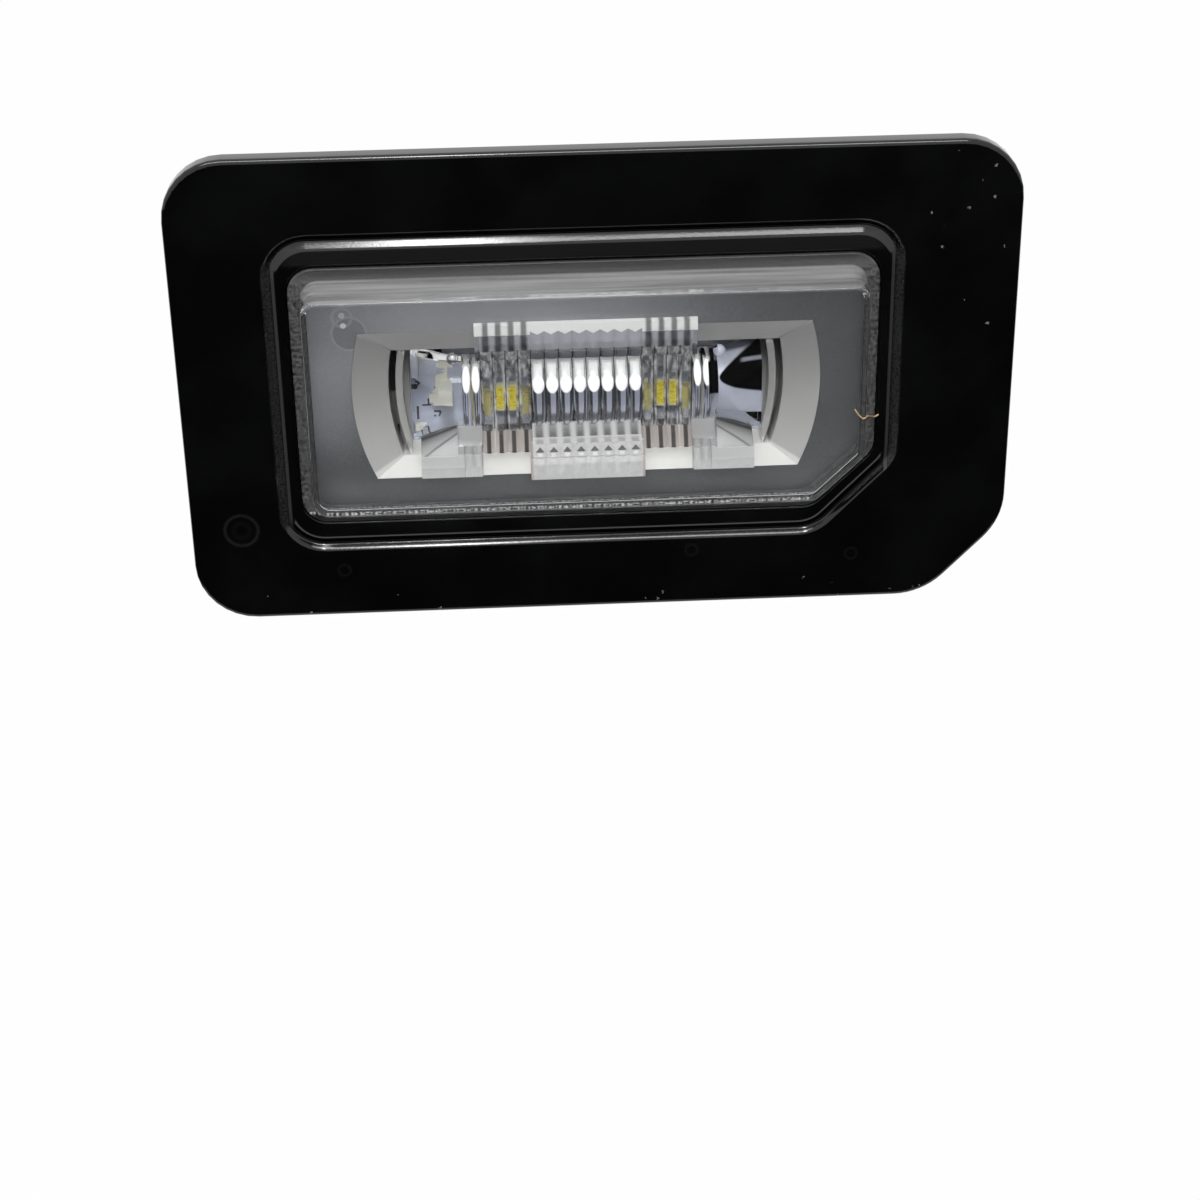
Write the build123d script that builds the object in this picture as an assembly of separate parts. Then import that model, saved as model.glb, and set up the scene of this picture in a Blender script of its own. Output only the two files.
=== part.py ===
from build123d import *
import os
from math import hypot, radians, sqrt, tan

# Number plate lamp. X to the right, Z up, the lens looks towards -Y.
# The origin is the centre of the flange's back face, which lies on the car's panel. Millimetres.

# Flange
flange_width = 82.0
flange_height = 48.0
flange_thickness = 2.2
flange_corner_radius = 6.0
flange_cut_width = 9.7
flange_cut_height = 8.8
flange_cut_radius = 5.0
flange_edge_bevel = 0.7

# Centre of the window on the flange
window_x = -1.15
window_z = -0.1

# Groove round the window
groove_outer_width = 62.1
groove_outer_height = 32.4
groove_corner_radius = 4.2
groove_cut_width = 7.8
groove_cut_height = 7.9
groove_width = 1.2
groove_depth = 1.0

# Clear lens: a flat rim and a dome with steep walls, the upper one leaning back
lens_width = 57.1
lens_height = 26.5
lens_corner_radius = 2.6
lens_cut_width = 6.1
lens_cut_height = 5.9
lens_rim_width = 1.1
lens_rim_thickness = 1.2
lens_rim_proud = 0.2
lens_dome_height = 3.3
lens_side_draft = 5.0
lens_top_draft = 21.0
lens_front_wall = 1.3
lens_side_wall = 0.8
lens_dome_radius = 1.9
lens_hollow_radius = 1.4
lens_seat_clearance = 0.15
seal_thickness = 0.2

# Tub behind the flange
lens_ledge_width = 0.8
tub_wall = 1.4
tub_depth = 10.2
tub_floor = 1.6
tub_edge_bevel = 1.0

# Grey mask plate and the window in it for the reflector's trough
mask_setback = 0.4
mask_thickness = 1.2
mask_clearance = 0.2
optic_x = -1.1
optic_z = -1.65
trough_half_length = 23.1
trough_half_height = 7.7
trough_end_radius = 21.5
trough_end_rise = 1.5

# White reflector
collar_clearance = 0.03
trough_bevel_side = 2.1
trough_bevel_end = 3.6
trough_bevel_depth = 0.82
reflector_wall = 1.2
reflector_rim_overlap = 1.5
reflector_rim_thickness = 1.0
slit_width = 0.7
slit_floor = 1.1
end_rib_width = 0.7
end_rib_setback = 0.2
end_panel_height = 0.6
peg_diameter = 2.0
peg_hole_clearance = 0.1
peg_tip = 0.4

# Clear optic bar
optic_end_gap = 2.3
optic_clearance = 0.3
barrel_lift = 0.45
barrel_radius = 3.7
barrel_proud = 0.2
valley_depth = 0.4
barrel_base = 0.6
bay_floor = 2.2
bay_half_height = 4.2
bay_width = 5.0
bay_wall_angle = 52.0
centre_flutes = 8
centre_half_width = 5.45
bay_flutes = 4
outer_flutes = 2
outer_width = 1.85
flute_height = 0.3
flute_crown = 0.5
horn_neck_length = 1.9
horn_neck_radius = 3.6
horn_radius = 4.8
tab_thickness = 0.8
tab_overlap = 0.75
tab_bottom_overlap = 0.35
tab_inner_half_height = 6.4
tab_bottom_half_width = 5.7
tab_end_width = 2.4
tab_end_reach = 0.6
tab_end_spread = 3.7
tab_end_overlap = -0.2
tab_top_half_width = 10.9

# Circuit board and its components
board_margin = 2.35
board_half_height = 10.0
board_thickness = 1.6
board_clearance = 0.3
led_gap = 0.2
led_width = 3.5
led_height = 2.8
led_thickness = 0.8
led_drop = 0.65
phosphor_width = 2.7
phosphor_height = 2.4
phosphor_depth = 0.35
diode_length = 4.3
diode_width = 3.4
diode_thickness = 0.75
diode_end_gap = 0.15
diode_z = 1.0
diode_narrow_end = 1.2
diode_lead_width = 0.8
diode_lead_length = 0.6
diode_lead_thickness = 0.3
chip_length = 3.2
chip_width = 1.6
chip_thickness = 0.55
chip_cap_length = 0.4
chip_cap_proud = 0.06
capacitor_length = 1.6
capacitor_width = 0.8
capacitor_thickness = 0.7
post_width = 3.0
post_inset = 2.6

# Connector socket and terminals
socket_z = 6.0
socket_width = 15.0
socket_height = 10.0
socket_length = 14.0
socket_wall = 1.3
socket_corner_radius = 2.2
latch_width = 4.0
latch_height = 1.1
latch_length = 3.0
latch_setback = 4.0
key_width = 1.4
key_height = 0.7
key_spacing = 6.0
terminal_pitch = 5.0
terminal_width = 1.6
terminal_thickness = 0.8
terminal_recess = 5.2
terminal_point = 0.25
terminal_tail = 0.8
terminal_shoulder = 2.6
terminal_clearance = 0.05

# Fixing to the panel: foam gasket, fixed hook, spring clip
gasket_thickness = 1.5
gasket_edge_inset = 2.5
gasket_tub_clearance = 0.3
panel_gap = 1.1
hook_reach = 4.0
hook_width = 10.0
hook_thickness = 2.4
hook_gusset = 1.6
clip_width = 8.0
clip_thickness = 0.5
clip_spread = 3.2
clip_bend_radius = 1.0
clip_bend_width = 2.4
clip_nose = 1.3
clip_nose_length = 2.6
clip_clearance = 0.1
clip_end_gap = 0.9
rail_width = 1.4
rail_lip = 0.7
rail_lip_thickness = 0.8
rail_length = 5.0

# Vent on the back wall
vent_x = -19.0
vent_z = -3.0
vent_bore = 2.0
vent_diameter = 6.0
vent_thickness = 0.3

# Chip components: left (-1) or right (1) end, gap to the end of the reflector's deep opening, Z from the optic's
# centre, and whether each stands upright on the board's face
resistor_places = [(1, 0.3, -3.5, False), (-1, 1.7, 3.2, True)]
capacitor_places = [(-1, 2.3, -0.6, False), (-1, 0.4, -3.4, False)]

# Depths along Y, from the lens to the back of the tub
flange_front = -flange_thickness
rim_front = flange_front - lens_rim_proud
rim_back = rim_front + lens_rim_thickness
ledge_front = rim_back + seal_thickness
mask_front = rim_back + mask_setback
mask_back = mask_front + mask_thickness
bevel_back = mask_front + trough_bevel_depth
tab_front = mask_front - tab_thickness
barrel_front = tab_front - barrel_proud
barrel_axis = barrel_front + barrel_radius
optic_back = barrel_axis + valley_depth + barrel_base
led_front = optic_back + led_gap
board_front = led_front + led_thickness
board_back = board_front + board_thickness
tub_back = tub_depth
tub_inner_back = tub_back - tub_floor
socket_mouth = tub_back + socket_length

# Half sizes that follow from the fits
opening_half_height = trough_half_height - trough_bevel_side
opening_half_length = trough_half_length - trough_bevel_end
optic_half_height = opening_half_height - optic_clearance
optic_half_length = opening_half_length - optic_end_gap
peg_reach = (opening_half_length + reflector_wall + trough_half_length + reflector_rim_overlap) / 2
board_half_width = peg_reach + board_margin
deep_half_length = optic_half_length + optic_clearance
diode_x = deep_half_length - diode_end_gap - diode_lead_length - diode_length / 2
bay_centre = centre_half_width + bay_width / 2
outer_start = centre_half_width + bay_width
horn_start = outer_start + outer_width
tab_outer = trough_half_height + tab_overlap
tab_end = horn_start + tab_end_reach


def front_plane(y, x=0.0, z=0.0):
    """Plane at depth y that faces the viewer, its own x along X and its own y along Z."""
    return Plane(origin=(x, y, z), x_dir=(1, 0, 0), z_dir=(0, -1, 0))


def slab(sketch, y_front, y_back, x=0.0, z=0.0):
    """Straight solid with the sketch as its section, between two depths."""
    return extrude(front_plane(y_back, x, z) * sketch, amount=y_back - y_front)


def across(sketch, x_from, x_to):
    """Straight solid along X, with a sketch of (Y, Z) points as its section."""
    return extrude(Plane.YZ.offset(x_from) * sketch, amount=x_to - x_from)


def polygon(*points):
    """Face inside a closed run of straight edges."""
    return make_face(Polyline(*points, close=True))


def block(x_from, x_to, y_from, y_to, z_from, z_to):
    """Rectangular solid between two corners."""
    size = (x_to - x_from, y_to - y_from, z_to - z_from)
    centre = ((x_from + x_to) / 2, (y_from + y_to) / 2, (z_from + z_to) / 2)
    return Pos(*centre) * Box(*size)


def cut_corner_face(width, height, radius, cut_width, cut_height, cut_radius, inset=0.0):
    """Rounded rectangle whose lower right corner is cut off at a slant, inset evenly all round."""
    right = width / 2 - inset
    top = height / 2 - inset
    slant = hypot(cut_width, cut_height)
    across_cut = cut_width + inset * ((slant - cut_width) / cut_height - 1)
    up_cut = cut_height + inset * ((slant - cut_height) / cut_width - 1)
    outline = FilletPolyline(
        (-right, -top),
        (right - across_cut, -top),
        (right, up_cut - top),
        (right, top),
        (-right, top),
        radius=[radius, cut_radius, cut_radius, radius, radius],
        close=True,
    )
    return make_face(outline)


def flange_face(inset=0.0):
    """Outline of the flange, inset evenly."""
    return cut_corner_face(
        flange_width,
        flange_height,
        flange_corner_radius - inset,
        flange_cut_width,
        flange_cut_height,
        flange_cut_radius - inset,
        inset,
    )


def lens_face(inset=0.0, radius=None, drop=0.0):
    """Outline of the lens rim, inset evenly, with its own corner radius if one is given and its top edge dropped."""
    corner = lens_corner_radius - inset if radius is None else radius
    face = cut_corner_face(
        lens_width,
        lens_height - drop,
        corner,
        lens_cut_width,
        lens_cut_height,
        corner,
        inset,
    )
    return Pos(window_x, window_z - drop / 2) * face


def groove_face(inset=0.0):
    """Outline of the groove's outer wall, inset evenly."""
    face = cut_corner_face(
        groove_outer_width,
        groove_outer_height,
        groove_corner_radius - inset,
        groove_cut_width,
        groove_cut_height,
        groove_corner_radius - inset,
        inset,
    )
    return Pos(window_x, window_z) * face


def trough_face(half_length, half_height):
    """Outline with straight long sides and bulging ends, about the optic's centre."""

    def end_x(height):
        rise = height - trough_end_rise
        return half_length - trough_end_radius + sqrt(trough_end_radius**2 - rise**2)

    top_x = end_x(half_height)
    bottom_x = end_x(-half_height)
    outline = [
        Line((-top_x, half_height), (top_x, half_height)),
        ThreePointArc((top_x, half_height), (half_length, trough_end_rise), (bottom_x, -half_height)),
        Line((bottom_x, -half_height), (-bottom_x, -half_height)),
        ThreePointArc((-bottom_x, -half_height), (-half_length, trough_end_rise), (-top_x, half_height)),
    ]
    return make_face(outline)


def optic_slab(sketch, y_front, y_back):
    """Straight solid between two depths, with its section about the optic's centre."""
    return slab(sketch, y_front, y_back, optic_x, optic_z)


def make_housing():
    """Black moulding: flange, groove, tub, connector socket, hook and clip rails in one piece."""
    flange = slab(flange_face(), flange_front, 0)
    front_edges = flange.faces().sort_by(Axis.Y)[0].edges()
    flange = chamfer(front_edges, flange_edge_bevel)
    tub = slab(lens_face(lens_ledge_width - tub_wall), 0, tub_back)
    back_edges = tub.faces().sort_by(Axis.Y)[-1].edges()
    tub = chamfer(back_edges, tub_edge_bevel)
    groove = slab(groove_face() - groove_face(groove_width), flange_front, flange_front + groove_depth)
    rebate = slab(lens_face(-lens_seat_clearance), flange_front, ledge_front)
    cavity = slab(lens_face(lens_ledge_width), ledge_front, tub_inner_back)
    body = flange + tub - groove - rebate - cavity
    body += make_posts() + make_socket() + make_hook() + make_clip_rails()
    body -= terminal_slots(tub_inner_back, tub_back)
    body -= slab(Circle(vent_bore / 2), tub_inner_back, tub_back, vent_x, vent_z)
    return body


def make_posts():
    """Four posts on the tub's floor that carry the circuit board."""
    reach_x = board_half_width - post_inset
    reach_z = board_half_height - post_inset
    posts = Sketch() + [
        Pos(side * reach_x, level * reach_z) * Rectangle(post_width, post_width)
        for side in (-1, 1)
        for level in (-1, 1)
    ]
    return optic_slab(posts, board_back, tub_inner_back)


def make_socket():
    """Open shroud for the plug, with a latch ramp on top and two keying ribs below."""
    outer = RectangleRounded(socket_width, socket_height, socket_corner_radius)
    inner = Rectangle(socket_width - 2 * socket_wall, socket_height - 2 * socket_wall)
    shroud = slab(outer - inner, tub_back, socket_mouth, optic_x, socket_z)
    top = socket_z + socket_height / 2
    latch_end = socket_mouth - latch_setback
    ramp = polygon(
        (latch_end - latch_length, top),
        (latch_end - latch_length, top + latch_height),
        (latch_end, top),
    )
    shroud += across(ramp, optic_x - latch_width / 2, optic_x + latch_width / 2)
    bottom = socket_z - socket_height / 2
    for side in (-1, 1):
        middle = optic_x + side * key_spacing / 2
        shroud += block(
            middle - key_width / 2,
            middle + key_width / 2,
            tub_back,
            socket_mouth - latch_setback,
            bottom - key_height,
            bottom,
        )
    return shroud


def tub_side(sign):
    """X of the tub's outer wall, on the left (-1) or on the right (1)."""
    return window_x + sign * (lens_width / 2 + tub_wall - lens_ledge_width)


def make_hook():
    """Fixed lug on the tub's left wall that reaches behind the panel, with two gussets."""
    wall = tub_side(-1)
    hook_front = gasket_thickness + panel_gap
    lug = (
        (wall, hook_front),
        (wall - hook_reach, hook_front),
        (wall - hook_reach, hook_front + hook_thickness / 2),
        (wall, hook_front + hook_thickness),
    )
    hook = Pos(0, 0, window_z - hook_width / 2) * extrude(polygon(*lug), amount=hook_width)
    web = (
        (wall, hook_front),
        (wall - hook_reach + hook_gusset, hook_front),
        (wall, tub_back - tub_edge_bevel),
    )
    for level in (-hook_width / 2, hook_width / 2 - hook_gusset):
        hook += Pos(0, 0, window_z + level) * extrude(polygon(*web), amount=hook_gusset)
    return hook


def make_clip_rails():
    """Two rails on the tub's right wall that hold the spring clip's flat leg."""
    wall = tub_side(1)
    inner = clip_width / 2 + clip_clearance
    lip_from = wall + clip_thickness + clip_clearance
    rail_back = tub_back - tub_edge_bevel - clip_end_gap
    rails = []
    for side in (-1, 1):
        rail_edges = sorted((side * inner, side * (inner + rail_width)))
        lip_edges = sorted((side * (inner - rail_lip), side * (inner + rail_width)))
        rails.append(
            block(
                wall,
                lip_from + rail_lip_thickness,
                rail_back - rail_length,
                rail_back,
                window_z + rail_edges[0],
                window_z + rail_edges[1],
            )
        )
        rails.append(
            block(
                lip_from,
                lip_from + rail_lip_thickness,
                rail_back - rail_length,
                rail_back,
                window_z + lip_edges[0],
                window_z + lip_edges[1],
            )
        )
    return Part() + rails


def lens_dome(inset, radius, y_front, y_back):
    """Solid dome on the lens outline: steep walls, the upper one leaning back further."""
    side_lean = (y_back - y_front) * tan(radians(lens_side_draft))
    top_lean = (y_back - y_front) * tan(radians(lens_top_draft))
    foot = lens_face(inset, radius)
    top = lens_face(inset + side_lean, radius - side_lean, top_lean - side_lean)
    return loft([front_plane(y_back) * foot, front_plane(y_front) * top], ruled=True)


def make_lens():
    """Clear moulding: flat rim and hollow dome."""
    rim = slab(lens_face(), rim_front, rim_back)
    dome_front = rim_front - lens_dome_height
    dome = lens_dome(lens_rim_width, lens_dome_radius, dome_front, rim_front)
    hollow = lens_dome(lens_rim_width + lens_side_wall, lens_hollow_radius, dome_front + lens_front_wall, rim_back)
    return rim + dome - hollow


def make_lens_seal():
    """Bonding bead between the lens rim and its ledge in the flange."""
    return slab(lens_face() - lens_face(lens_ledge_width), rim_back, ledge_front)


def make_mask():
    """Grey frame plate with a window for the trough."""
    plate = slab(lens_face(lens_ledge_width + mask_clearance), mask_front, mask_back)
    return plate - optic_slab(trough_face(trough_half_length, trough_half_height), mask_front, mask_back)


def make_reflector():
    """White trough: collar in the mask's window, bevelled walls, end slits and ribs, locating pegs."""
    collar = trough_face(trough_half_length - collar_clearance, trough_half_height - collar_clearance)
    mouth = trough_face(trough_half_length - 2 * collar_clearance, trough_half_height - 2 * collar_clearance)
    opening = trough_face(opening_half_length, opening_half_height)
    rim = trough_face(trough_half_length + reflector_rim_overlap, trough_half_height + reflector_rim_overlap)
    walls = trough_face(opening_half_length + reflector_wall, opening_half_height + reflector_wall)
    body = optic_slab(collar, mask_front, mask_back)
    body += optic_slab(rim, mask_back, mask_back + reflector_rim_thickness)
    body += optic_slab(walls, mask_back, board_front)
    bevel = loft(
        [
            front_plane(mask_front, optic_x, optic_z) * mouth,
            front_plane(bevel_back, optic_x, optic_z) * opening,
        ],
        ruled=True,
    )
    floor_front = board_front - slit_floor
    body -= bevel
    body -= optic_slab(opening, bevel_back, floor_front)
    deep = Rectangle(2 * deep_half_length, 2 * opening_half_height)
    body -= optic_slab(deep, floor_front, board_front)
    rib_outer = opening_half_length - slit_width
    rib_inner = rib_outer - end_rib_width
    rib = trough_face(rib_outer, opening_half_height) - trough_face(rib_inner, opening_half_height) - deep
    body += optic_slab(rib, bevel_back + end_rib_setback, floor_front)
    panel = trough_face(rib_inner, opening_half_height) - deep
    body += optic_slab(panel, floor_front - end_panel_height, floor_front)
    pegs = Sketch() + [Pos(x, 0) * Circle(peg_diameter / 2) for x in peg_places()]
    body += optic_slab(pegs, mask_back + reflector_rim_thickness, board_back + peg_tip)
    return body


def peg_places():
    """Places of the reflector's pegs along X, from the optic's centre."""
    return (-peg_reach, peg_reach)


def flute_run(start, width, count):
    """Start, crown and end along X of each flute in a row."""
    pitch = width / count
    return [(start + i * pitch, start + (i + 0.5) * pitch, start + (i + 1) * pitch) for i in range(count)]


def barrel_profile(start, width, count):
    """Half section of a fluted barrel, from the axis out to its crowned flutes."""
    low = barrel_radius - flute_height
    points = [(start, 0)]
    for begin, crown, end in flute_run(start, width, count):
        half_crown = flute_crown * (end - begin) / 2
        points.append((begin, low))
        points.append((crown - half_crown, barrel_radius))
        points.append((crown + half_crown, barrel_radius))
    points.append((start + width, low))
    points.append((start + width, 0))
    return polygon(*points)


def horn_profile(side):
    """Half section of a horn that flares from the barrel to the bar's end."""
    return polygon(
        (side * horn_start, 0),
        (side * horn_start, barrel_radius - flute_height),
        (side * (horn_start + horn_neck_length), horn_neck_radius),
        (side * optic_half_length, horn_radius),
        (side * optic_half_length, 0),
    )


def ridges(start, width, count, foot, top):
    """Row of rounded ridges on a sloping wall, each a cylinder sunk to its flute height.

    foot and top are the (Y, Z) ends of the wall's line, its face to the left of that direction.
    """
    pitch = width / count
    radius = (pitch**2 / 4 + flute_height**2) / (2 * flute_height)
    run = (top[0] - foot[0], top[1] - foot[1])
    length = hypot(*run)
    sink = radius - flute_height
    normal = (-run[1] / length * sink, run[0] / length * sink)
    ends = [(p[0] - normal[0], p[1] - normal[1]) for p in (foot, top)]
    rods = []
    for _, crown, _ in flute_run(start, width, count):
        axis_plane = Plane(origin=(crown, *ends[0]), z_dir=(0, *run))
        rods.append(extrude(axis_plane * Circle(radius), amount=length))
    return rods


def make_optic_bar():
    """Clear light bar: fluted barrels, LED bays with ridged walls, horn ends and mounting tabs."""
    barrel_plane = Plane(origin=(0, barrel_axis, barrel_lift), x_dir=(1, 0, 0), z_dir=(0, 0, 1))
    profiles = [
        barrel_profile(-centre_half_width, 2 * centre_half_width, centre_flutes),
        barrel_profile(-horn_start, outer_width, outer_flutes),
        barrel_profile(outer_start, outer_width, outer_flutes),
        horn_profile(-1),
        horn_profile(1),
    ]
    turned = Part()
    for profile in profiles:
        turned += revolve(barrel_plane * profile, axis=Axis((0, barrel_axis, barrel_lift), (1, 0, 0)))
    keep = block(
        -optic_half_length,
        optic_half_length,
        barrel_front,
        optic_back,
        -optic_half_height,
        optic_half_height,
    )
    bar = turned & keep
    bar += across(centre_section(), -tab_end, -outer_start)
    bar += across(centre_section(), outer_start, tab_end)
    bar += across(centre_section(), -centre_half_width, centre_half_width)
    for side in (-1, 1):
        bar += make_bay(side * bay_centre)
    bar += make_tabs()
    return Pos(optic_x, 0, optic_z) * bar


def centre_section():
    """Section (Y, Z) of the bar's base with its two raised side walls."""
    valley = optic_back - barrel_base
    return polygon(
        (optic_back, -optic_half_height),
        (mask_front, -optic_half_height),
        (valley, -bay_half_height),
        (valley, bay_half_height),
        (mask_front, optic_half_height),
        (optic_back, optic_half_height),
    )


def make_bay(middle):
    """Bay in front of one LED: ridged floor between two ridged walls that lean outwards."""
    start = middle - bay_width / 2
    floor = optic_back - bay_floor
    rise = (optic_half_height - bay_half_height) * tan(radians(bay_wall_angle))
    wall_front = floor - rise
    section = polygon(
        (optic_back, -optic_half_height),
        (wall_front, -optic_half_height),
        (floor, -bay_half_height),
        (floor, bay_half_height),
        (wall_front, optic_half_height),
        (optic_back, optic_half_height),
    )
    bay = across(section, start, start + bay_width)
    bay += ridges(start, bay_width, bay_flutes, (floor, -bay_half_height), (floor, bay_half_height))
    upper = ridges(start, bay_width, bay_flutes, (floor, bay_half_height), (wall_front, optic_half_height))
    lower = ridges(start, bay_width, bay_flutes, (wall_front, -optic_half_height), (floor, -bay_half_height))
    bay += upper + lower
    limits = block(
        start,
        start + bay_width,
        tab_front,
        optic_back,
        -optic_half_height,
        optic_half_height,
    )
    return bay & limits


def make_tabs():
    """Frosted tabs that lie on the mask: one along the top, one at the bottom centre, two at the ends."""
    top = across(tab_section(tab_outer, 1), -tab_top_half_width, tab_top_half_width)
    bottom_outer = trough_half_height + tab_bottom_overlap
    bottom = across(tab_section(bottom_outer, -1), -tab_bottom_half_width, tab_bottom_half_width)
    tabs = top + bottom
    end_outer = trough_half_height + tab_end_overlap
    for side in (-1, 1):
        edges = sorted((side * (tab_end + tab_end_spread), side * (tab_end - tab_end_width)))
        tabs += across(tab_section(end_outer, -1), *edges)
    return tabs


def tab_section(outer, sign):
    """Section (Y, Z) of a tab and the slanted web that joins it to the bar's side wall."""
    web_back = mask_front + tab_thickness / 2
    points = [
        (mask_front, outer),
        (tab_front, outer),
        (tab_front, tab_inner_half_height),
        (mask_front, optic_half_height - tab_thickness),
        (web_back + tab_thickness, optic_half_height - tab_thickness),
        (web_back, optic_half_height),
        (mask_front, trough_half_height - 2 * collar_clearance),
    ]
    return polygon(*[(y, sign * z) for y, z in points])


def terminal_places():
    """X of the two terminals."""
    return (optic_x - terminal_pitch / 2, optic_x + terminal_pitch / 2)


def terminal_slots(y_front, y_back):
    """Clearance slots for the two terminals, between two depths."""
    slot = Rectangle(terminal_width + 2 * terminal_clearance, terminal_thickness + 2 * terminal_clearance)
    slots = Sketch() + [Pos(x, socket_z) * slot for x in terminal_places()]
    return slab(slots, y_front, y_back)


def make_board():
    """Circuit board with holes for the pegs and the terminals."""
    outline = Rectangle(2 * board_half_width, 2 * board_half_height)
    inside = lens_face(lens_ledge_width + board_clearance)
    board = slab(Pos(optic_x, optic_z) * outline & inside, board_front, board_back)
    hole = Circle(peg_diameter / 2 + peg_hole_clearance)
    for x in peg_places():
        board -= optic_slab(Pos(x, 0) * hole, board_front, board_back)
    return board - terminal_slots(board_front, board_back)


def led_slab(width, height, y_front, y_back, side):
    """Rectangular solid centred on the left (-1) or right (1) LED."""
    return slab(Rectangle(width, height), y_front, y_back, optic_x + side * bay_centre, optic_z - led_drop)


def make_led(side):
    """LED package with a shallow well for its phosphor."""
    package = led_slab(led_width, led_height, led_front, board_front, side)
    return package - make_phosphor(side)


def make_phosphor(side):
    """Yellow phosphor that fills an LED's well."""
    return led_slab(phosphor_width, phosphor_height, led_front, led_front + phosphor_depth, side)


def make_diode():
    """Flat moulded diode that widens to the right, with a lead at each end."""
    x = optic_x + diode_x
    z = optic_z + diode_z
    end = diode_length / 2
    foot = -diode_width / 2
    outline = polygon((-end, foot), (end, foot), (end, foot + diode_width), (-end, foot + diode_narrow_end))
    body = slab(outline, board_front - diode_thickness, board_front, x, z)
    body = chamfer(body.faces().sort_by(Axis.Y)[0].edges(), diode_lead_thickness)
    lead_row = Pos(0, foot + diode_narrow_end / 2)
    leads = lead_row * Rectangle(2 * (end + diode_lead_length), diode_lead_width) - outline
    return body + slab(leads, board_front - diode_lead_thickness, board_front, x, z)


def make_chips(places, length, width, thickness):
    """Group of equal chip components that lie on the board, each with raised end caps."""
    group = []
    cap_front = board_front - thickness
    body = Rectangle(length - 2 * chip_cap_length, width)
    caps = Rectangle(length, width) - body
    for side, end_gap, z, upright in places:
        x = side * (deep_half_length - end_gap - (width if upright else length) / 2)
        place = Pos(x, z) * Rot(0, 0, 90 if upright else 0)
        chip = optic_slab(place * body, cap_front + chip_cap_proud, board_front)
        chip += optic_slab(place * caps, cap_front, board_front)
        group.append(chip)
    return Compound(children=group)


def make_terminal(x):
    """Blade terminal: tail through the board, shoulder against the tub's floor, pointed blade."""
    tip = socket_mouth - terminal_recess
    blade = block(
        x - terminal_width / 2,
        x + terminal_width / 2,
        board_front - terminal_tail,
        tip,
        socket_z - terminal_thickness / 2,
        socket_z + terminal_thickness / 2,
    )
    blade = chamfer(blade.faces().sort_by(Axis.Y)[-1].edges(), terminal_point)
    shoulder = block(
        x - terminal_shoulder / 2,
        x + terminal_shoulder / 2,
        board_back,
        tub_inner_back,
        socket_z - terminal_thickness / 2,
        socket_z + terminal_thickness / 2,
    )
    return blade + shoulder


def make_gasket():
    """Foam ring on the flange's back face, round the tub."""
    outer = flange_face(gasket_edge_inset)
    inner = lens_face(lens_ledge_width - tub_wall - gasket_tub_clearance)
    return slab(outer - inner, 0, gasket_thickness)


def make_spring_clip():
    """Steel leaf: flat leg in the rails, a bend at the back, and a nose that catches the panel."""
    wall = tub_side(1)
    middle = wall + clip_thickness / 2
    back = tub_back - tub_edge_bevel - clip_end_gap + 2 * clip_bend_radius
    front = gasket_thickness + panel_gap
    path = FilletPolyline(
        (middle, back - rail_length - 2 * clip_bend_radius),
        (middle, back),
        (middle + clip_bend_width, back),
        (middle + clip_spread + clip_nose, front + clip_nose_length),
        (middle + clip_spread, front),
        radius=clip_bend_radius,
    )
    leaf = trace(path, clip_thickness)
    return Pos(0, 0, window_z - clip_width / 2) * extrude(leaf, amount=clip_width)


def make_vent_membrane():
    """Breathing patch stuck over the vent bore on the back wall."""
    return slab(Circle(vent_diameter / 2), tub_back, tub_back + vent_thickness, vent_x, vent_z)


parts = {
    "housing": make_housing(),
    "lens": make_lens(),
    "lens_seal": make_lens_seal(),
    "mask": make_mask(),
    "reflector": make_reflector(),
    "optic_bar": make_optic_bar(),
    "circuit_board": make_board(),
    "led_left": make_led(-1),
    "led_right": make_led(1),
    "led_left_phosphor": make_phosphor(-1),
    "led_right_phosphor": make_phosphor(1),
    "diode": make_diode(),
    "chip_resistors": make_chips(resistor_places, chip_length, chip_width, chip_thickness),
    "chip_capacitors": make_chips(capacitor_places, capacitor_length, capacitor_width, capacitor_thickness),
    "terminal_left": make_terminal(terminal_places()[0]),
    "terminal_right": make_terminal(terminal_places()[1]),
    "gasket": make_gasket(),
    "spring_clip": make_spring_clip(),
    "vent_membrane": make_vent_membrane(),
}

os.makedirs("parts", exist_ok=True)
for name, solid in parts.items():
    export_step(solid, f"parts/{name}.step")
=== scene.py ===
"""Looks of the number plate lamp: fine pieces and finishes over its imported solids, in millimetres."""
import logging
import math
from abc import ABC, abstractmethod
from dataclasses import dataclass
from typing import Callable, Optional, Sequence, Union

import bpy
from mathutils import Matrix, Vector


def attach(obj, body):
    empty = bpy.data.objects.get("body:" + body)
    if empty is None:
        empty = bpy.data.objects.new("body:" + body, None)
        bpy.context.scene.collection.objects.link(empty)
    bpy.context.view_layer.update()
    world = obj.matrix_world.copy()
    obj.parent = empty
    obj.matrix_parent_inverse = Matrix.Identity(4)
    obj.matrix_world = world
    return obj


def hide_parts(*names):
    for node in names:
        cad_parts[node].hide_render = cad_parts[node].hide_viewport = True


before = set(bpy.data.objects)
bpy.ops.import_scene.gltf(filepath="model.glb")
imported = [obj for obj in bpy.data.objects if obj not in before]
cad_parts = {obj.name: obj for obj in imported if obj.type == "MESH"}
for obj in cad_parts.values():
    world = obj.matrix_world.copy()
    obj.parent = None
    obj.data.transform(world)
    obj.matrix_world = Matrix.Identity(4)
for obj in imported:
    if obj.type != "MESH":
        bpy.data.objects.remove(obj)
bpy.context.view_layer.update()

MM = 0.001
log = logging.getLogger("number_plate_lamp")

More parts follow.
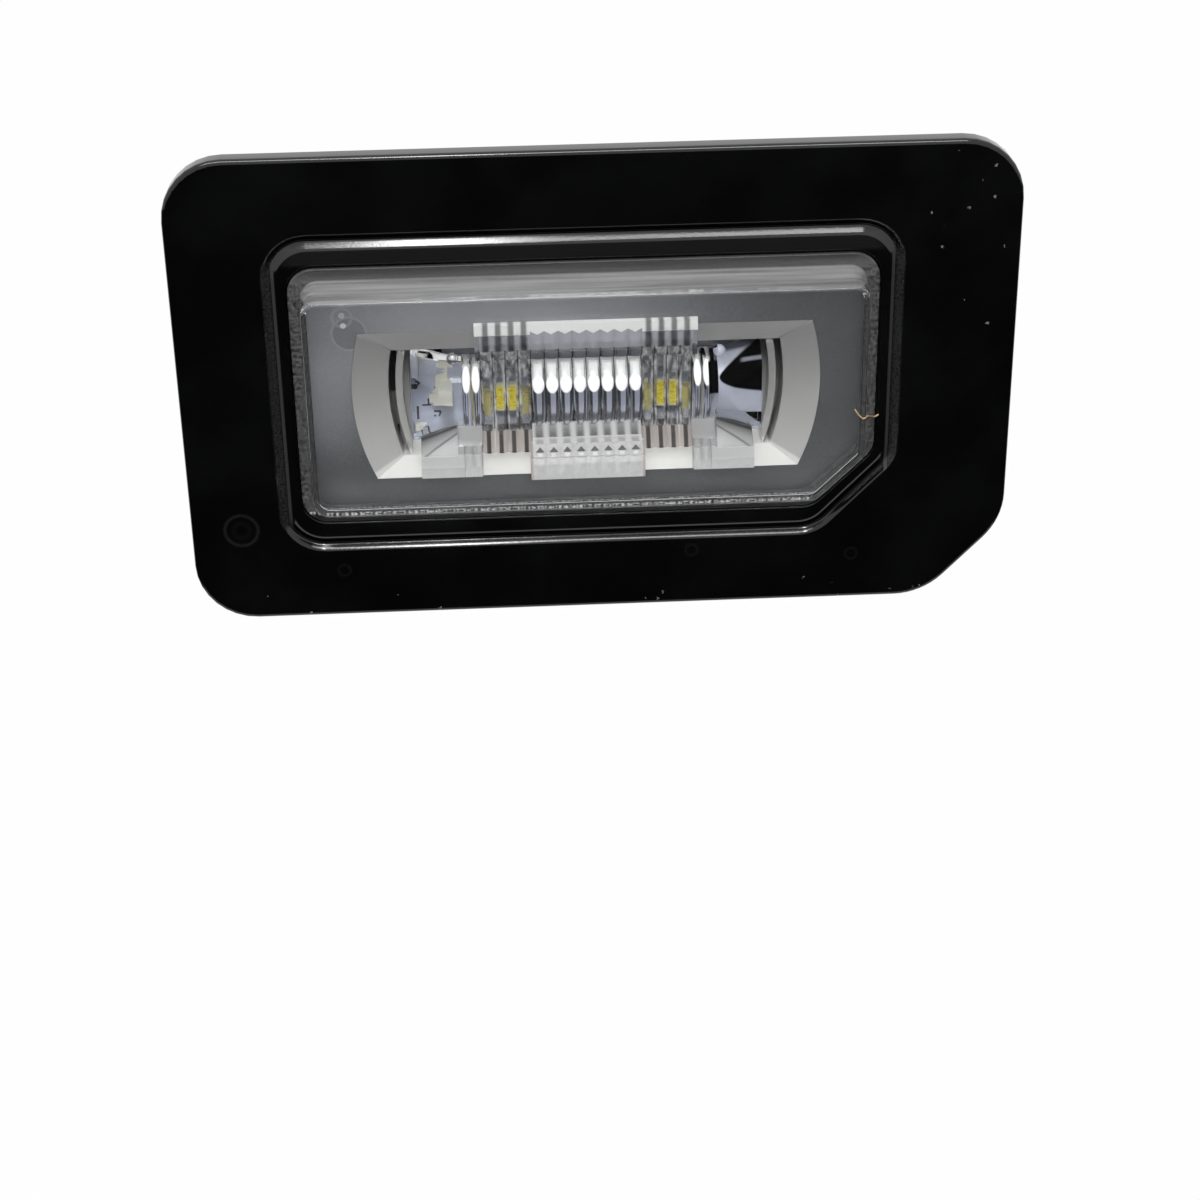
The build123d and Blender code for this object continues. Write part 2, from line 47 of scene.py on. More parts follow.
Piece = bpy.types.Object
Socket = bpy.types.NodeSocket
Pair = tuple[float, float]
Spot = tuple[float, float, float]
Box = tuple[float, float, float, float]
Limits = tuple[float, float, float, float]
Colour = tuple[float, float, float, float]

# Centre of the flange's window in X and Z
WINDOW: Pair = (-1.15, -0.1)


class Bench:
    """Workbench: Blender's modelling operators, each as one step."""

    @staticmethod
    def clear() -> None:
        """Leave edit mode and drop every selection."""
        if bpy.context.object is not None and bpy.context.object.mode != "OBJECT":
            bpy.ops.object.mode_set(mode="OBJECT")
        bpy.ops.object.select_all(action="DESELECT")

    @staticmethod
    def take(piece: Piece) -> None:
        """Make one piece the only selected and active one."""
        Bench.clear()
        piece.select_set(True)
        bpy.context.view_layer.objects.active = piece

    @staticmethod
    def pick_faces(piece: Piece, test: Callable[[Vector], bool]) -> None:
        """Enter edit mode with the faces selected whose middle, in millimetres, passes a test."""
        Bench.take(piece)
        bpy.ops.object.mode_set(mode="EDIT")
        bpy.ops.mesh.select_mode(type="FACE")
        bpy.ops.mesh.select_all(action="DESELECT")
        bpy.ops.object.mode_set(mode="OBJECT")
        for face in piece.data.polygons:
            face.select = test(face.center / MM)
        bpy.ops.object.mode_set(mode="EDIT")

    @staticmethod
    def face_out() -> None:
        """Turn all faces of the solid in edit mode outward, and leave edit mode."""
        bpy.ops.mesh.select_all(action="SELECT")
        bpy.ops.mesh.normals_make_consistent(inside=False)
        Bench.clear()

    @staticmethod
    def sheet(name: str, points: Sequence[Vector]) -> Piece:
        """Flat face with the given corners in millimetres."""
        Bench.clear()
        bpy.ops.mesh.primitive_circle_add(vertices=len(points), radius=1.0, fill_type="NGON")
        piece = bpy.context.object
        piece.name = name
        for corner, place in zip(piece.data.vertices, points):
            corner.co = place * MM
        piece.data.update()
        return piece

    @staticmethod
    def prism(name: str, points: Sequence[Vector], sweep: Vector) -> Piece:
        """Solid swept straight from a flat polygon, all in millimetres."""
        piece = Bench.sheet(name, points)
        Bench.pick_faces(piece, lambda middle: True)
        bpy.ops.mesh.extrude_region_move(TRANSFORM_OT_translate={"value": tuple(sweep * MM)})
        Bench.face_out()
        return piece

    @staticmethod
    def block(name: str, low: Sequence[float], high: Sequence[float]) -> Piece:
        """Rectangular solid between two corners in millimetres."""
        foot = ((low[0], low[1]), (high[0], low[1]), (high[0], high[1]), (low[0], high[1]))
        corners = [Vector((x, y, low[2])) for x, y in foot]
        return Bench.prism(name, corners, Vector((0, 0, high[2] - low[2])))

    @staticmethod
    def modify(piece: Piece, kind: str, **settings: object) -> None:
        """Add one modifier with its settings and apply it."""
        Bench.take(piece)
        added = piece.modifiers.new(kind.lower(), kind)
        for key, setting in settings.items():
            setattr(added, key, setting)
        bpy.ops.object.modifier_apply(modifier=added.name)

    @staticmethod
    def weld(piece: Piece, other: Piece) -> None:
        """Add a second solid to a piece, and remove the second."""
        Bench.modify(piece, "BOOLEAN", object=other, operation="UNION", solver="EXACT")
        bpy.data.objects.remove(other)

    @staticmethod
    def skin(name: str, rings: Sequence[Sequence[Vector]]) -> Piece:
        """Closed solid drawn over a run of rings, flat at its first and last ring.

        Args:
            name: The new object's name.
            rings: Rings of equally many points in millimetres.

        Returns:
            The closed solid.
        """
        piece = Bench.sheet(name, rings[0])
        order = list(range(len(rings[0])))
        Bench.pick_faces(piece, lambda middle: True)
        for ring in rings[1:]:
            bpy.ops.mesh.extrude_region_move()
            bpy.ops.object.mode_set(mode="OBJECT")
            points = piece.data.vertices
            rank = {tuple(points[i].co): k for k, i in enumerate(order)}
            fresh = sorted((rank[tuple(point.co)], point.index) for point in points if point.select)
            order = [index for k, index in fresh]
            for index, place in zip(order, ring):
                points[index].co = place * MM
            bpy.ops.object.mode_set(mode="EDIT")
        Bench.face_out()
        return piece

    @staticmethod
    def polish(piece: Piece, angle: float = 40.0) -> None:
        """Smooth the shading over gentle turns and keep flat faces flat."""
        Bench.take(piece)
        bpy.ops.object.shade_smooth_by_angle(angle=math.radians(angle))
        Bench.modify(piece, "WEIGHTED_NORMAL", keep_sharp=True)

    @staticmethod
    def soften(piece: Piece, width: float) -> None:
        """Round every sharp edge by a width in millimetres, with flat faces kept flat."""
        Bench.take(piece)
        bpy.ops.object.shade_smooth()
        Bench.modify(
            piece,
            "BEVEL",
            width=width * MM,
            segments=2,
            limit_method="ANGLE",
            angle_limit=math.radians(30.0),
            harden_normals=True,
        )

    @staticmethod
    def join(piece: Piece, others: Sequence[Piece]) -> None:
        """Put other objects' meshes into one piece."""
        Bench.take(piece)
        for other in others:
            other.select_set(True)
        bpy.ops.object.join()
        Bench.clear()


def curve(start: float, corner: float, end: float, t: float) -> float:
    """Place at t on a curve that leaves its start towards a corner and reaches its end from there."""
    return (1 - t) ** 2 * start + 2 * t * (1 - t) * corner + t**2 * end


@dataclass(frozen=True)
class Outline:
    """Rounded outline in the X-Z plane: a rectangle whose lower right corner may be cut off at a slant."""

    width: float
    height: float
    radius: float
    cut: Optional[Pair] = None
    cut_radius: float = 0.0
    x: float = 0.0
    z: float = 0.0
    steps: int = 8
    least_radius: float = 0.02

    def corners(self, inset: float, drop: float, rise: float) -> list[Spot]:
        """Corners in order as (x, z, radius).

        Args:
            inset: How far they lie inside the full outline.
            drop: How much further the top edge lies inside.
            rise: How much further the bottom edge lies inside.

        Returns:
            The corners.
        """
        right, top = self.width / 2 - inset, self.height / 2 - inset
        plain = self.radius - inset
        found = [(-right, rise - top, plain)]
        if self.cut is None:
            found.append((right, rise - top, plain))
        else:
            slant = math.hypot(*self.cut)
            along = self.cut[0] + inset * ((slant - self.cut[0]) / self.cut[1] - 1)
            up = self.cut[1] + inset * ((slant - self.cut[1]) / self.cut[0] - 1)
            found.append((right - along + rise * along / up, rise - top, self.cut_radius - inset))
            found.append((right, up - top, self.cut_radius - inset))
        return found + [(right, top - drop, plain), (-right, top - drop, plain)]

    def ring(
        self,
        y: float,
        inset: float = 0.0,
        radius: Optional[float] = None,
        drop: float = 0.0,
        rise: float = 0.0,
    ) -> list[Vector]:
        """Points along the outline at one depth.

        Args:
            y: Depth of the ring.
            inset: How far it lies inside the full outline.
            radius: One radius for every corner, if they don't follow the inset.
            drop: How much further the top edge lies inside.
            rise: How much further the bottom edge lies inside.

        Returns:
            The points, equally many for every ring of one outline.
        """
        corners = self.corners(inset, drop, rise)
        count = len(corners)
        points = []
        for i, (x, z, own) in enumerate(corners):
            place = Vector((x, z))
            before = (Vector(corners[i - 1][:2]) - place).normalized()
            after = (Vector(corners[(i + 1) % count][:2]) - place).normalized()
            turn = before.angle(after)
            size = max(own if radius is None else radius, self.least_radius)
            middle = place + (before + after).normalized() * size / math.sin(turn / 2)
            start = place + before * size / math.tan(turn / 2) - middle
            end = place + after * size / math.tan(turn / 2) - middle
            for k in range(self.steps + 1):
                spot = middle + start.slerp(end, k / self.steps).normalized() * size
                points.append(Vector((spot.x + self.x, y, spot.y + self.z)))
        return points

    def fillet(self, start: Pair, corner: Pair, end: Pair, steps: int = 3) -> list[list[Vector]]:
        """Rings that turn smoothly round a corner of the profile, each point of it as (inset, y)."""
        rings = []
        for k in range(steps + 1):
            inset, y = (curve(*places, k / steps) for places in zip(start, corner, end))
            rings.append(self.ring(y, inset))
        return rings


def operation(kind: str, swapped: bool = False) -> Callable[["Value", "Number"], "Value"]:
    """Make a method of Value that adds one Math node.

    Args:
        kind: The node's operation.
        swapped: True if the value comes second.

    Returns:
        The method.
    """

    def method(self: "Value", other: "Number") -> "Value":
        """Add the node."""
        return self.math(kind, other, self) if swapped else self.math(kind, self, other)

    return method


class Value:
    """A number that a shader works out. Arithmetic on it adds Math nodes.

    A mask is such a number from 0 to 1: ~ turns it round, * keeps what two share, | takes the greater.
    """

    def __init__(self, sketch: "Sketch", socket: Socket) -> None:
        """Wrap one output socket."""
        self.sketch = sketch
        self.socket = socket

    def math(self, kind: str, first: "Number", second: "Number" = 0.0) -> "Value":
        """Add one Math node."""
        return self.sketch.value("Math", {0: first, 1: second}, operation=kind)

    __add__ = operation("ADD")
    __radd__ = operation("ADD", swapped=True)
    __sub__ = operation("SUBTRACT")
    __rsub__ = operation("SUBTRACT", swapped=True)
    __mul__ = operation("MULTIPLY")
    __truediv__ = operation("DIVIDE")
    __or__ = operation("MAXIMUM")
    least = operation("MINIMUM")
    power = operation("POWER")
    above = operation("GREATER_THAN")
    below = operation("LESS_THAN")

    def __neg__(self) -> "Value":
        """The value with its sign turned."""
        return 0.0 - self

    def __invert__(self) -> "Value":
        """What a mask leaves out."""
        return 1.0 - self

    def magnitude(self) -> "Value":
        """The value without its sign."""
        return self.math("ABSOLUTE", self)

    def fraction(self) -> "Value":
        """The part after the decimal point."""
        return self.math("FRACT", self)

    def squared(self) -> "Value":
        """The value times itself."""
        return self * self

    def between(self, low: float, high: float) -> "Value":
        """1 between two limits, 0 elsewhere."""
        return self.above(low) * self.below(high)

    def ramp(self, low: float, high: float) -> "Value":
        """0 below one limit, 1 above another, and a smooth rise between them."""
        inputs = {"Value": self, "From Min": low, "From Max": high}
        return self.sketch.value("MapRange", inputs, interpolation_type="SMOOTHSTEP")

    def band(self, low: float, full: float, still: float, high: float) -> "Value":
        """0 up to low, a smooth rise to 1 at full, 1 up to still, and a smooth fall to 0 at high."""
        return self.ramp(low, full) * self.ramp(high, still)

    def near(self, level: float, outer: float, inner: float = 0.0) -> "Value":
        """1 up to an inner distance from a level, falling smoothly to 0 at an outer one."""
        return (self - level).magnitude().ramp(outer, inner)


Number = Union[float, int, Value]
Content = Union[Number, Socket, Sequence[float]]
Inputs = dict[Union[int, str], Content]


class Sketch:
    """Node tree of a material or the world, drawn node by node."""

    def __init__(self, tree: bpy.types.NodeTree) -> None:
        """Start afresh in a tree."""
        self.tree = tree
        tree.nodes.clear()

    def node(self, kind: str, inputs: Optional[Inputs] = None, **settings: str) -> bpy.types.Node:
        """Add one node.

        Args:
            kind: The shader node's type.
            inputs: Values or links of its inputs.
            settings: Its properties, set first.

        Returns:
            The node.
        """
        made = self.tree.nodes.new("ShaderNode" + kind)
        for key, setting in settings.items():
            setattr(made, key, setting)
        for key, content in (inputs or {}).items():
            socket = made.inputs[key]
            if isinstance(content, Value):
                self.tree.links.new(content.socket, socket)
            elif isinstance(content, Socket):
                self.tree.links.new(content, socket)
            else:
                socket.default_value = content
        return made

    def value(self, kind: str, inputs: Inputs, output: int = 0, **settings: str) -> Value:
        """Add one node and wrap one of its outputs as a number."""
        return Value(self, self.node(kind, inputs, **settings).outputs[output])

    def place(self) -> Socket:
        """Object coordinates, in metres."""
        return self.node("TexCoord").outputs["Object"]

    def axes(self) -> tuple[Value, Value, Value]:
        """Object coordinates as three numbers, in millimetres."""
        split = self.node("SeparateXYZ", {0: self.place()})
        x, y, z = (Value(self, split.outputs[i]) / MM for i in range(3))
        return x, y, z

    def away(self, spot: Pair) -> Value:
        """Distance in the X-Z plane from a spot, in millimetres."""
        x, _, z = self.axes()
        line = self.node("CombineXYZ", {0: x - spot[0], 1: z - spot[1]}).outputs[0]
        return self.value("VectorMath", {0: line}, 1, operation="LENGTH")

    def stretched(self, scale: Spot) -> Socket:
        """Object coordinates stretched along the axes."""
        return self.node("Mapping", {"Vector": self.place(), "Scale": scale}).outputs[0]

    def noise(self, size: float, detail: float = 3.0, at: Optional[Socket] = None) -> Value:
        """Soft random pattern with features of one size in millimetres."""
        vector = self.place() if at is None else at
        inputs = {"Vector": vector, "Scale": 1 / (size * MM), "Detail": detail}
        return self.value("TexNoise", inputs)

    def specks(self, size: float, radius: float, share: float) -> Value:
        """Scattered specks of uneven shape.

        Args:
            size: Mean distance between places where a speck may lie, in millimetres.
            radius: Greatest radius of a speck as a share of that distance.
            share: Share of the places that hold a speck.

        Returns:
            1 on a speck and 0 elsewhere.
        """
        finer, jitter = 3, 0.9
        stir = self.node("TexNoise", {"Vector": self.place(), "Scale": finer / (size * MM), "Detail": 2.0})
        moved = {0: stir.outputs["Color"], 1: (size * MM * jitter,) * 3, 2: self.place()}
        shift = self.node("VectorMath", moved, operation="MULTIPLY_ADD").outputs[0]
        cells = self.node("TexVoronoi", {"Vector": shift, "Scale": 1 / (size * MM)})
        draw = self.node("SeparateColor", {0: cells.outputs["Color"]})
        reach = Value(self, draw.outputs[1]) * radius
        near = Value(self, cells.outputs["Distance"]).below(reach)
        return near * Value(self, draw.outputs[0]).above(1 - share)

    def blend(self, factor: Number, first: Content, second: Content) -> Socket:
        """Colour between two colours."""
        return self.node("Mix", {0: factor, 6: first, 7: second}, data_type="RGBA").outputs[2]

    def layers(self, base: Content, *coats: tuple[Number, Content]) -> Content:
        """Colour with others laid over it in turn, each given as its share and itself."""
        for share, colour in coats:
            base = self.blend(share, base, colour)
        return base

    def bump(self, height: Value, depth: float, strength: float) -> Socket:
        """Surface relief of a depth in millimetres."""
        inputs = {"Strength": strength, "Distance": depth * MM, "Height": height}
        return self.node("Bump", inputs).outputs[0]

    def paint(
        self,
        colour: Content,
        roughness: Number,
        relief: Optional[Socket] = None,
        more: Optional[Inputs] = None,
    ) -> Socket:
        """Principled surface shader.

        Args:
            colour: Its colour.
            roughness: Its roughness.
            relief: Its bumped normal, if it has one.
            more: Its further inputs by name.

        Returns:
            The shader.
        """
        inputs = {"Base Color": colour, "Roughness": roughness, **(more or {})}
        if relief is not None:
            inputs["Normal"] = relief
        return self.node("BsdfPrincipled", inputs).outputs[0]

    def over(self, share: Number, below: Socket, above: Socket) -> Socket:
        """Lay one shader over another."""
        return self.node("MixShader", {0: share, 1: below, 2: above}).outputs[0]


def grey(level: float) -> Colour:
    """Neutral colour of one linear level."""
    return (level, level, level, 1.0)


def drawn(name: str, draw: Callable[[Sketch], Socket]) -> bpy.types.Material:
    """Make a material.

    Args:
        name: Its name.
        draw: Draws its surface shader.

    Returns:
        The material.
    """
    material = bpy.data.materials.new(name)
    material.use_nodes = True
    s = Sketch(material.node_tree)
    s.node("OutputMaterial", {"Surface": draw(s)})
    return material


@dataclass(frozen=True)
class Finish(ABC):
    """Looks of one kind of surface."""

    name: str

    @abstractmethod
    def draw(self, s: Sketch) -> Socket:
        """Draw the surface shader."""

    def material(self) -> bpy.types.Material:
        """Make the material."""
        return drawn(self.name, self.draw)


@dataclass(frozen=True)
class BlackMoulding(Finish):
    """Glossy black plastic with dust, ejector marks, a faint painted sheen on the land above the window,
    and at the groove's sides grey dust with a painted sheen and a painted highlight along its inner lip.
    """

    name: str = "black_moulding"
    low: Colour = (0.0018, 0.0019, 0.0020, 1.0)
    high: Colour = (0.0045, 0.0048, 0.0050, 1.0)
    dust: Colour = (0.24, 0.22, 0.19, 1.0)
    silt_and_sheen: tuple[Colour, Colour] = (grey(0.028), grey(0.05))
    roughness: float = 0.07
    gloss: float = 0.5
    face: float = -2.1
    groove_reach: float = 30.7
    groove_depths: Pair = (-2.18, -1.65)
    groove_floor: Limits = (-0.35, -0.1, 0.5, 0.75)
    groove_lip: Limits = (0.6, 0.75, 0.95, 1.1)
    groove_end: float = 1.4
    sheen_band: Limits = (13.2, 13.7, 14.9, 15.4)
    large_pin: Pair = (-36.0, -14.1)
    large_rings: Pair = (1.65, 0.8)
    small_pins: tuple[Pair, ...] = ((-26.0, -18.9), (9.2, -18.0), (25.5, -19.0))
    small_ring: float = 0.6

    def marks(self, s: Sketch) -> Value:
        """Rings that the tool's ejector pins left in the flange's face."""
        pin = s.away(self.large_pin)
        outer, inner = self.large_rings
        rings = pin.near(outer, 0.35) + pin.near(inner, 0.5) * 0.4
        for spot in self.small_pins:
            rings = rings + s.away(spot).near(self.small_ring, 0.3) * 0.5
        return rings

    def dusty(self, s: Sketch) -> Value:
        """Specks of dust, most of them at the flange's upper right and along its foot."""
        x, y, z = s.axes()
        right = x.ramp(26.0, 40.0) * z.ramp(-4.0, 14.0)
        foot = (-z).ramp(18.5, 23.5)
        gather = (right * 0.75 + foot * 0.5 + 0.12) * y.below(-1.2)
        return s.specks(0.6, 0.28, 0.09) * gather.above(s.noise(2.0, 1.0))

    def draw(self, s: Sketch) -> Socket:
        """Draw the surface shader."""
        x, y, z = s.axes()
        cloud, grain = s.noise(9.0, 4.0), s.noise(0.25)
        dust = self.dusty(s)
        mark = self.marks(s) * y.below(self.face)
        inset = self.groove_reach - (x - WINDOW[0]).magnitude()
        sides = z.near(WINDOW[1], 15.0, 12.5) * y.between(*self.groove_depths)
        sides = sides * inset.below(self.groove_end)
        # Painted sheen with grey dust on the groove's floor at the sides, and a painted highlight along its
        # inner lip.
        floor = sides * inset.band(*self.groove_floor) * (grain.ramp(0.3, 0.7) * 0.45 + 0.45)
        lip = sides * inset.band(*self.groove_lip)
        # Painted sheen on the land above the window.
        painted_sheen = z.band(*self.sheen_band) * x.near(WINDOW[0], 30.0, 27.5) * y.below(-1.0)
        colour = s.layers(
            self.low,
            (cloud.ramp(0.35, 0.7), self.high),
            (mark * 0.28 | floor | lip | painted_sheen * 0.5, s.blend(lip, *self.silt_and_sheen)),
            (dust, self.dust),
        )
        return s.paint(
            colour,
            self.roughness + cloud * 0.08 + dust * 0.6 + mark * 0.25 + (floor | lip) * 0.3,
            s.bump(grain + dust * 2.0, 0.01, 0.35),
            {"Specular IOR Level": self.gloss},
        )


@dataclass(frozen=True)
class Rows:
    """Rows of flutes along the light bar: their places, and patterns of them for finishes."""

    x: float = -1.1
    z: float = -1.2
    centre: float = 5.45
    bay_end: float = 10.45
    outer_end: float = 12.3
    centre_pitch: float = 1.3625
    bay_pitch: float = 1.25
    outer_pitch: float = 0.925

    def along(self, s: Sketch) -> Value:
        """Place along the bar, in millimetres from its centre."""
        return s.axes()[0] - self.x

    def across(self, s: Sketch) -> Value:
        """Place across the bar, in millimetres from its axis."""
        return s.axes()[2] - self.z

    def in_centre(self, u: Value) -> Value:
        """1 in the centre row."""
        return u.magnitude().below(self.centre)

    def in_bay(self, u: Value) -> Value:
        """1 in the two bays in front of the LEDs."""
        return u.magnitude().between(self.centre, self.bay_end)

    def off_crest(self, u: Value) -> Value:
        """Distance from the nearest flute's crest as a share of the pitch: 0 on it, 0.5 in the valley."""
        reach = u.magnitude()
        centre = self.in_centre(u) * ((u + self.centre) / self.centre_pitch)
        bay = self.in_bay(u) * ((reach - self.centre) / self.bay_pitch)
        outer = reach.above(self.bay_end) * ((reach - self.bay_end) / self.outer_pitch)
        return ((centre + bay + outer).fraction() - 0.5).magnitude()


@dataclass(frozen=True)
class ClearPlastic(Finish):
    """Polished clear plastic that lets light straight through to what it shades."""

    tint: Colour = (0.985, 0.99, 0.995, 1.0)
    refraction: float = 1.49
    polish: float = 0.012
    passes: float = 0.93

    @abstractmethod
    def body(self, s: Sketch) -> Socket:
        """Draw the surface that is seen."""

    def clear(self, s: Sketch, frost: Value) -> Socket:
        """Clear shader with faint smudges.

        Args:
            s: The material.
            frost: Where the surface is frosted.

        Returns:
            The shader.
        """
        ripple, smudge = s.noise(0.45), s.noise(7.0)
        return s.paint(
            self.tint,
            self.polish + smudge * 0.012 + frost * 0.34,
            s.bump(ripple * frost, 0.10, 0.8),
            {"IOR": self.refraction, "Transmission Weight": 1.0},
        )

    def draw(self, s: Sketch) -> Socket:
        """Draw the surface shader."""
        through = s.node("BsdfTransparent", {"Color": grey(self.passes)}).outputs[0]
        shadow = s.node("LightPath").outputs["Is Shadow Ray"]
        return s.over(Value(s, shadow), self.body(s), through)


@dataclass(frozen=True)
class LensPlastic(ClearPlastic):
    """Clear lens with a mottled weld in its rim and a streaked painted reflection on its upper wall."""

    half_width: float = 28.55
    half_height: float = 13.25
    rim_depths: Pair = (-2.62, -2.45)
    upper_wall: Pair = (10.55, 10.8)
    upper_rim: Pair = (11.6, 12.2)
    lower_rim: float = -12.2

    def weld(self, s: Sketch) -> Socket:
        """Mottled shader of the weld, with painted light on the upper rim and painted glints along the
        lower edge.
        """
        x, _, z = s.axes()
        mottle, fleck = s.noise(0.4, 4.0), s.noise(0.3)
        side = self.half_width - (x - WINDOW[0]).magnitude()
        level = self.half_height - (z - WINDOW[1]).magnitude() - (-z).ramp(11.9, 12.1) * 0.72
        ragged = (side.least(level) + (mottle - 0.5) * 0.9).ramp(0.0, 0.14)
        # Painted light: the upper rim darker at its outer edge and brighter towards the dome; painted
        # glints as white flecks along the lower edge.
        tone = s.layers(
            grey(0.018),
            ((mottle * 0.5 + fleck * 0.5).ramp(0.38, 0.62), grey(0.15)),
            (z.ramp(*self.upper_rim), s.blend(level.ramp(0.1, 1.1), grey(0.022), grey(0.10))),
            (z.below(self.lower_rim) * fleck.ramp(0.42, 0.60), grey(0.95)),
        )
        colour = s.blend(ragged, grey(0.004), tone)
        return s.paint(colour, 0.35 + fleck * 0.3, s.bump(mottle + fleck * 0.5, 0.10, 0.7))

    def body(self, s: Sketch) -> Socket:
        """Draw the surface that is seen."""
        _, y, z = s.axes()
        rim = y.ramp(*self.rim_depths)
        streaks = s.noise(0.5, at=s.stretched((0.03, 1.0, 1.0)))
        # Painted reflection of the light on the upper wall, in streaked light grey.
        painted_reflection = s.paint(s.blend(streaks.ramp(0.35, 0.65), grey(0.23), grey(0.34)), 0.4 + streaks * 0.2)
        surface = s.over(z.ramp(*self.upper_wall) * (streaks * 0.5 + 0.4), self.clear(s, rim), painted_reflection)
        return s.over(rim * 0.82, surface, self.weld(s))


class BarZones:
    """Parts of the light bar's surface, each as a mask that is 1 on the part and 0 elsewhere.

    Its limits are places in Z, with the sign turned for most parts below the axis. FALL and UNDER are lines
    across the horns, each as its height at HORN_FOOT and its slope.
    """

    LEDGE: Pair = (5.55, 5.8)
    LEDGE_WAVE: float = 0.7
    LOWER_TAB: Pair = (7.35, 7.6)
    END_TAB_RISE: float = 0.55
    UPPER_WALL: Pair = (3.85, 4.05)
    BAY_WALL: Pair = (4.95, 5.15)
    SLOPE: Pair = (4.9, 5.2)
    FOOT: float = -6.05
    FOOT_EDGE: float = 6.45
    STEP_DEPTH: float = -0.78
    HORN_FOOT: float = 12.9
    FALL: Pair = (4.75, 0.31)
    UNDER: Pair = (5.35, 0.5)
    FAN_END: float = -7.0

    def __init__(self, s: Sketch, rows: Rows, horn_start: float) -> None:
        """Work out the masks.

        Args:
            s: The bar's material.
            rows: The bar's rows of flutes.
            horn_start: Where the horns start along the bar.
        """
        x, y, z = s.axes()
        self.y, self.z = y, z
        self.u = x - rows.x
        self.reach = self.u.magnitude()
        self.off = rows.off_crest(self.u)
        self.bay, self.centre = rows.in_bay(self.u), rows.in_centre(self.u)
        self.ends, self.horn = self.reach.above(rows.bay_end), self.reach.above(horn_start)
        self.outer = self.ends * self.reach.below(rows.outer_end)
        self.ledge = (z - self.centre * self.off * self.LEDGE_WAVE).ramp(*self.LEDGE)
        self.frost = self.ledge | (self.ends * self.END_TAB_RISE - z).ramp(*self.LOWER_TAB)
        self.bare = ~self.frost
        self.top = z.ramp(*self.UPPER_WALL) * self.bare
        self.wall = (z.ramp(*self.UPPER_WALL) | self.bay * (-z).ramp(*self.BAY_WALL)) * self.bare
        self.slope = ~self.bay * ~self.horn * (-z).ramp(*self.SLOPE) * self.bare
        self.foot = self.centre * self.bare * z.below(self.FOOT)
        self.step = self.foot * y.above(self.STEP_DEPTH)
        self.floor = self.bay * ~self.wall * self.bare
        out = self.reach - self.HORN_FOOT
        self.fall = -z - self.FALL[0] - out * self.FALL[1]
        self.under = -z - self.UNDER[0] - out * self.UNDER[1]
        self.fan = self.horn * self.fall.above(0.0) * z.above(self.FAN_END)
        self.foot_depth = -z - self.FOOT_EDGE


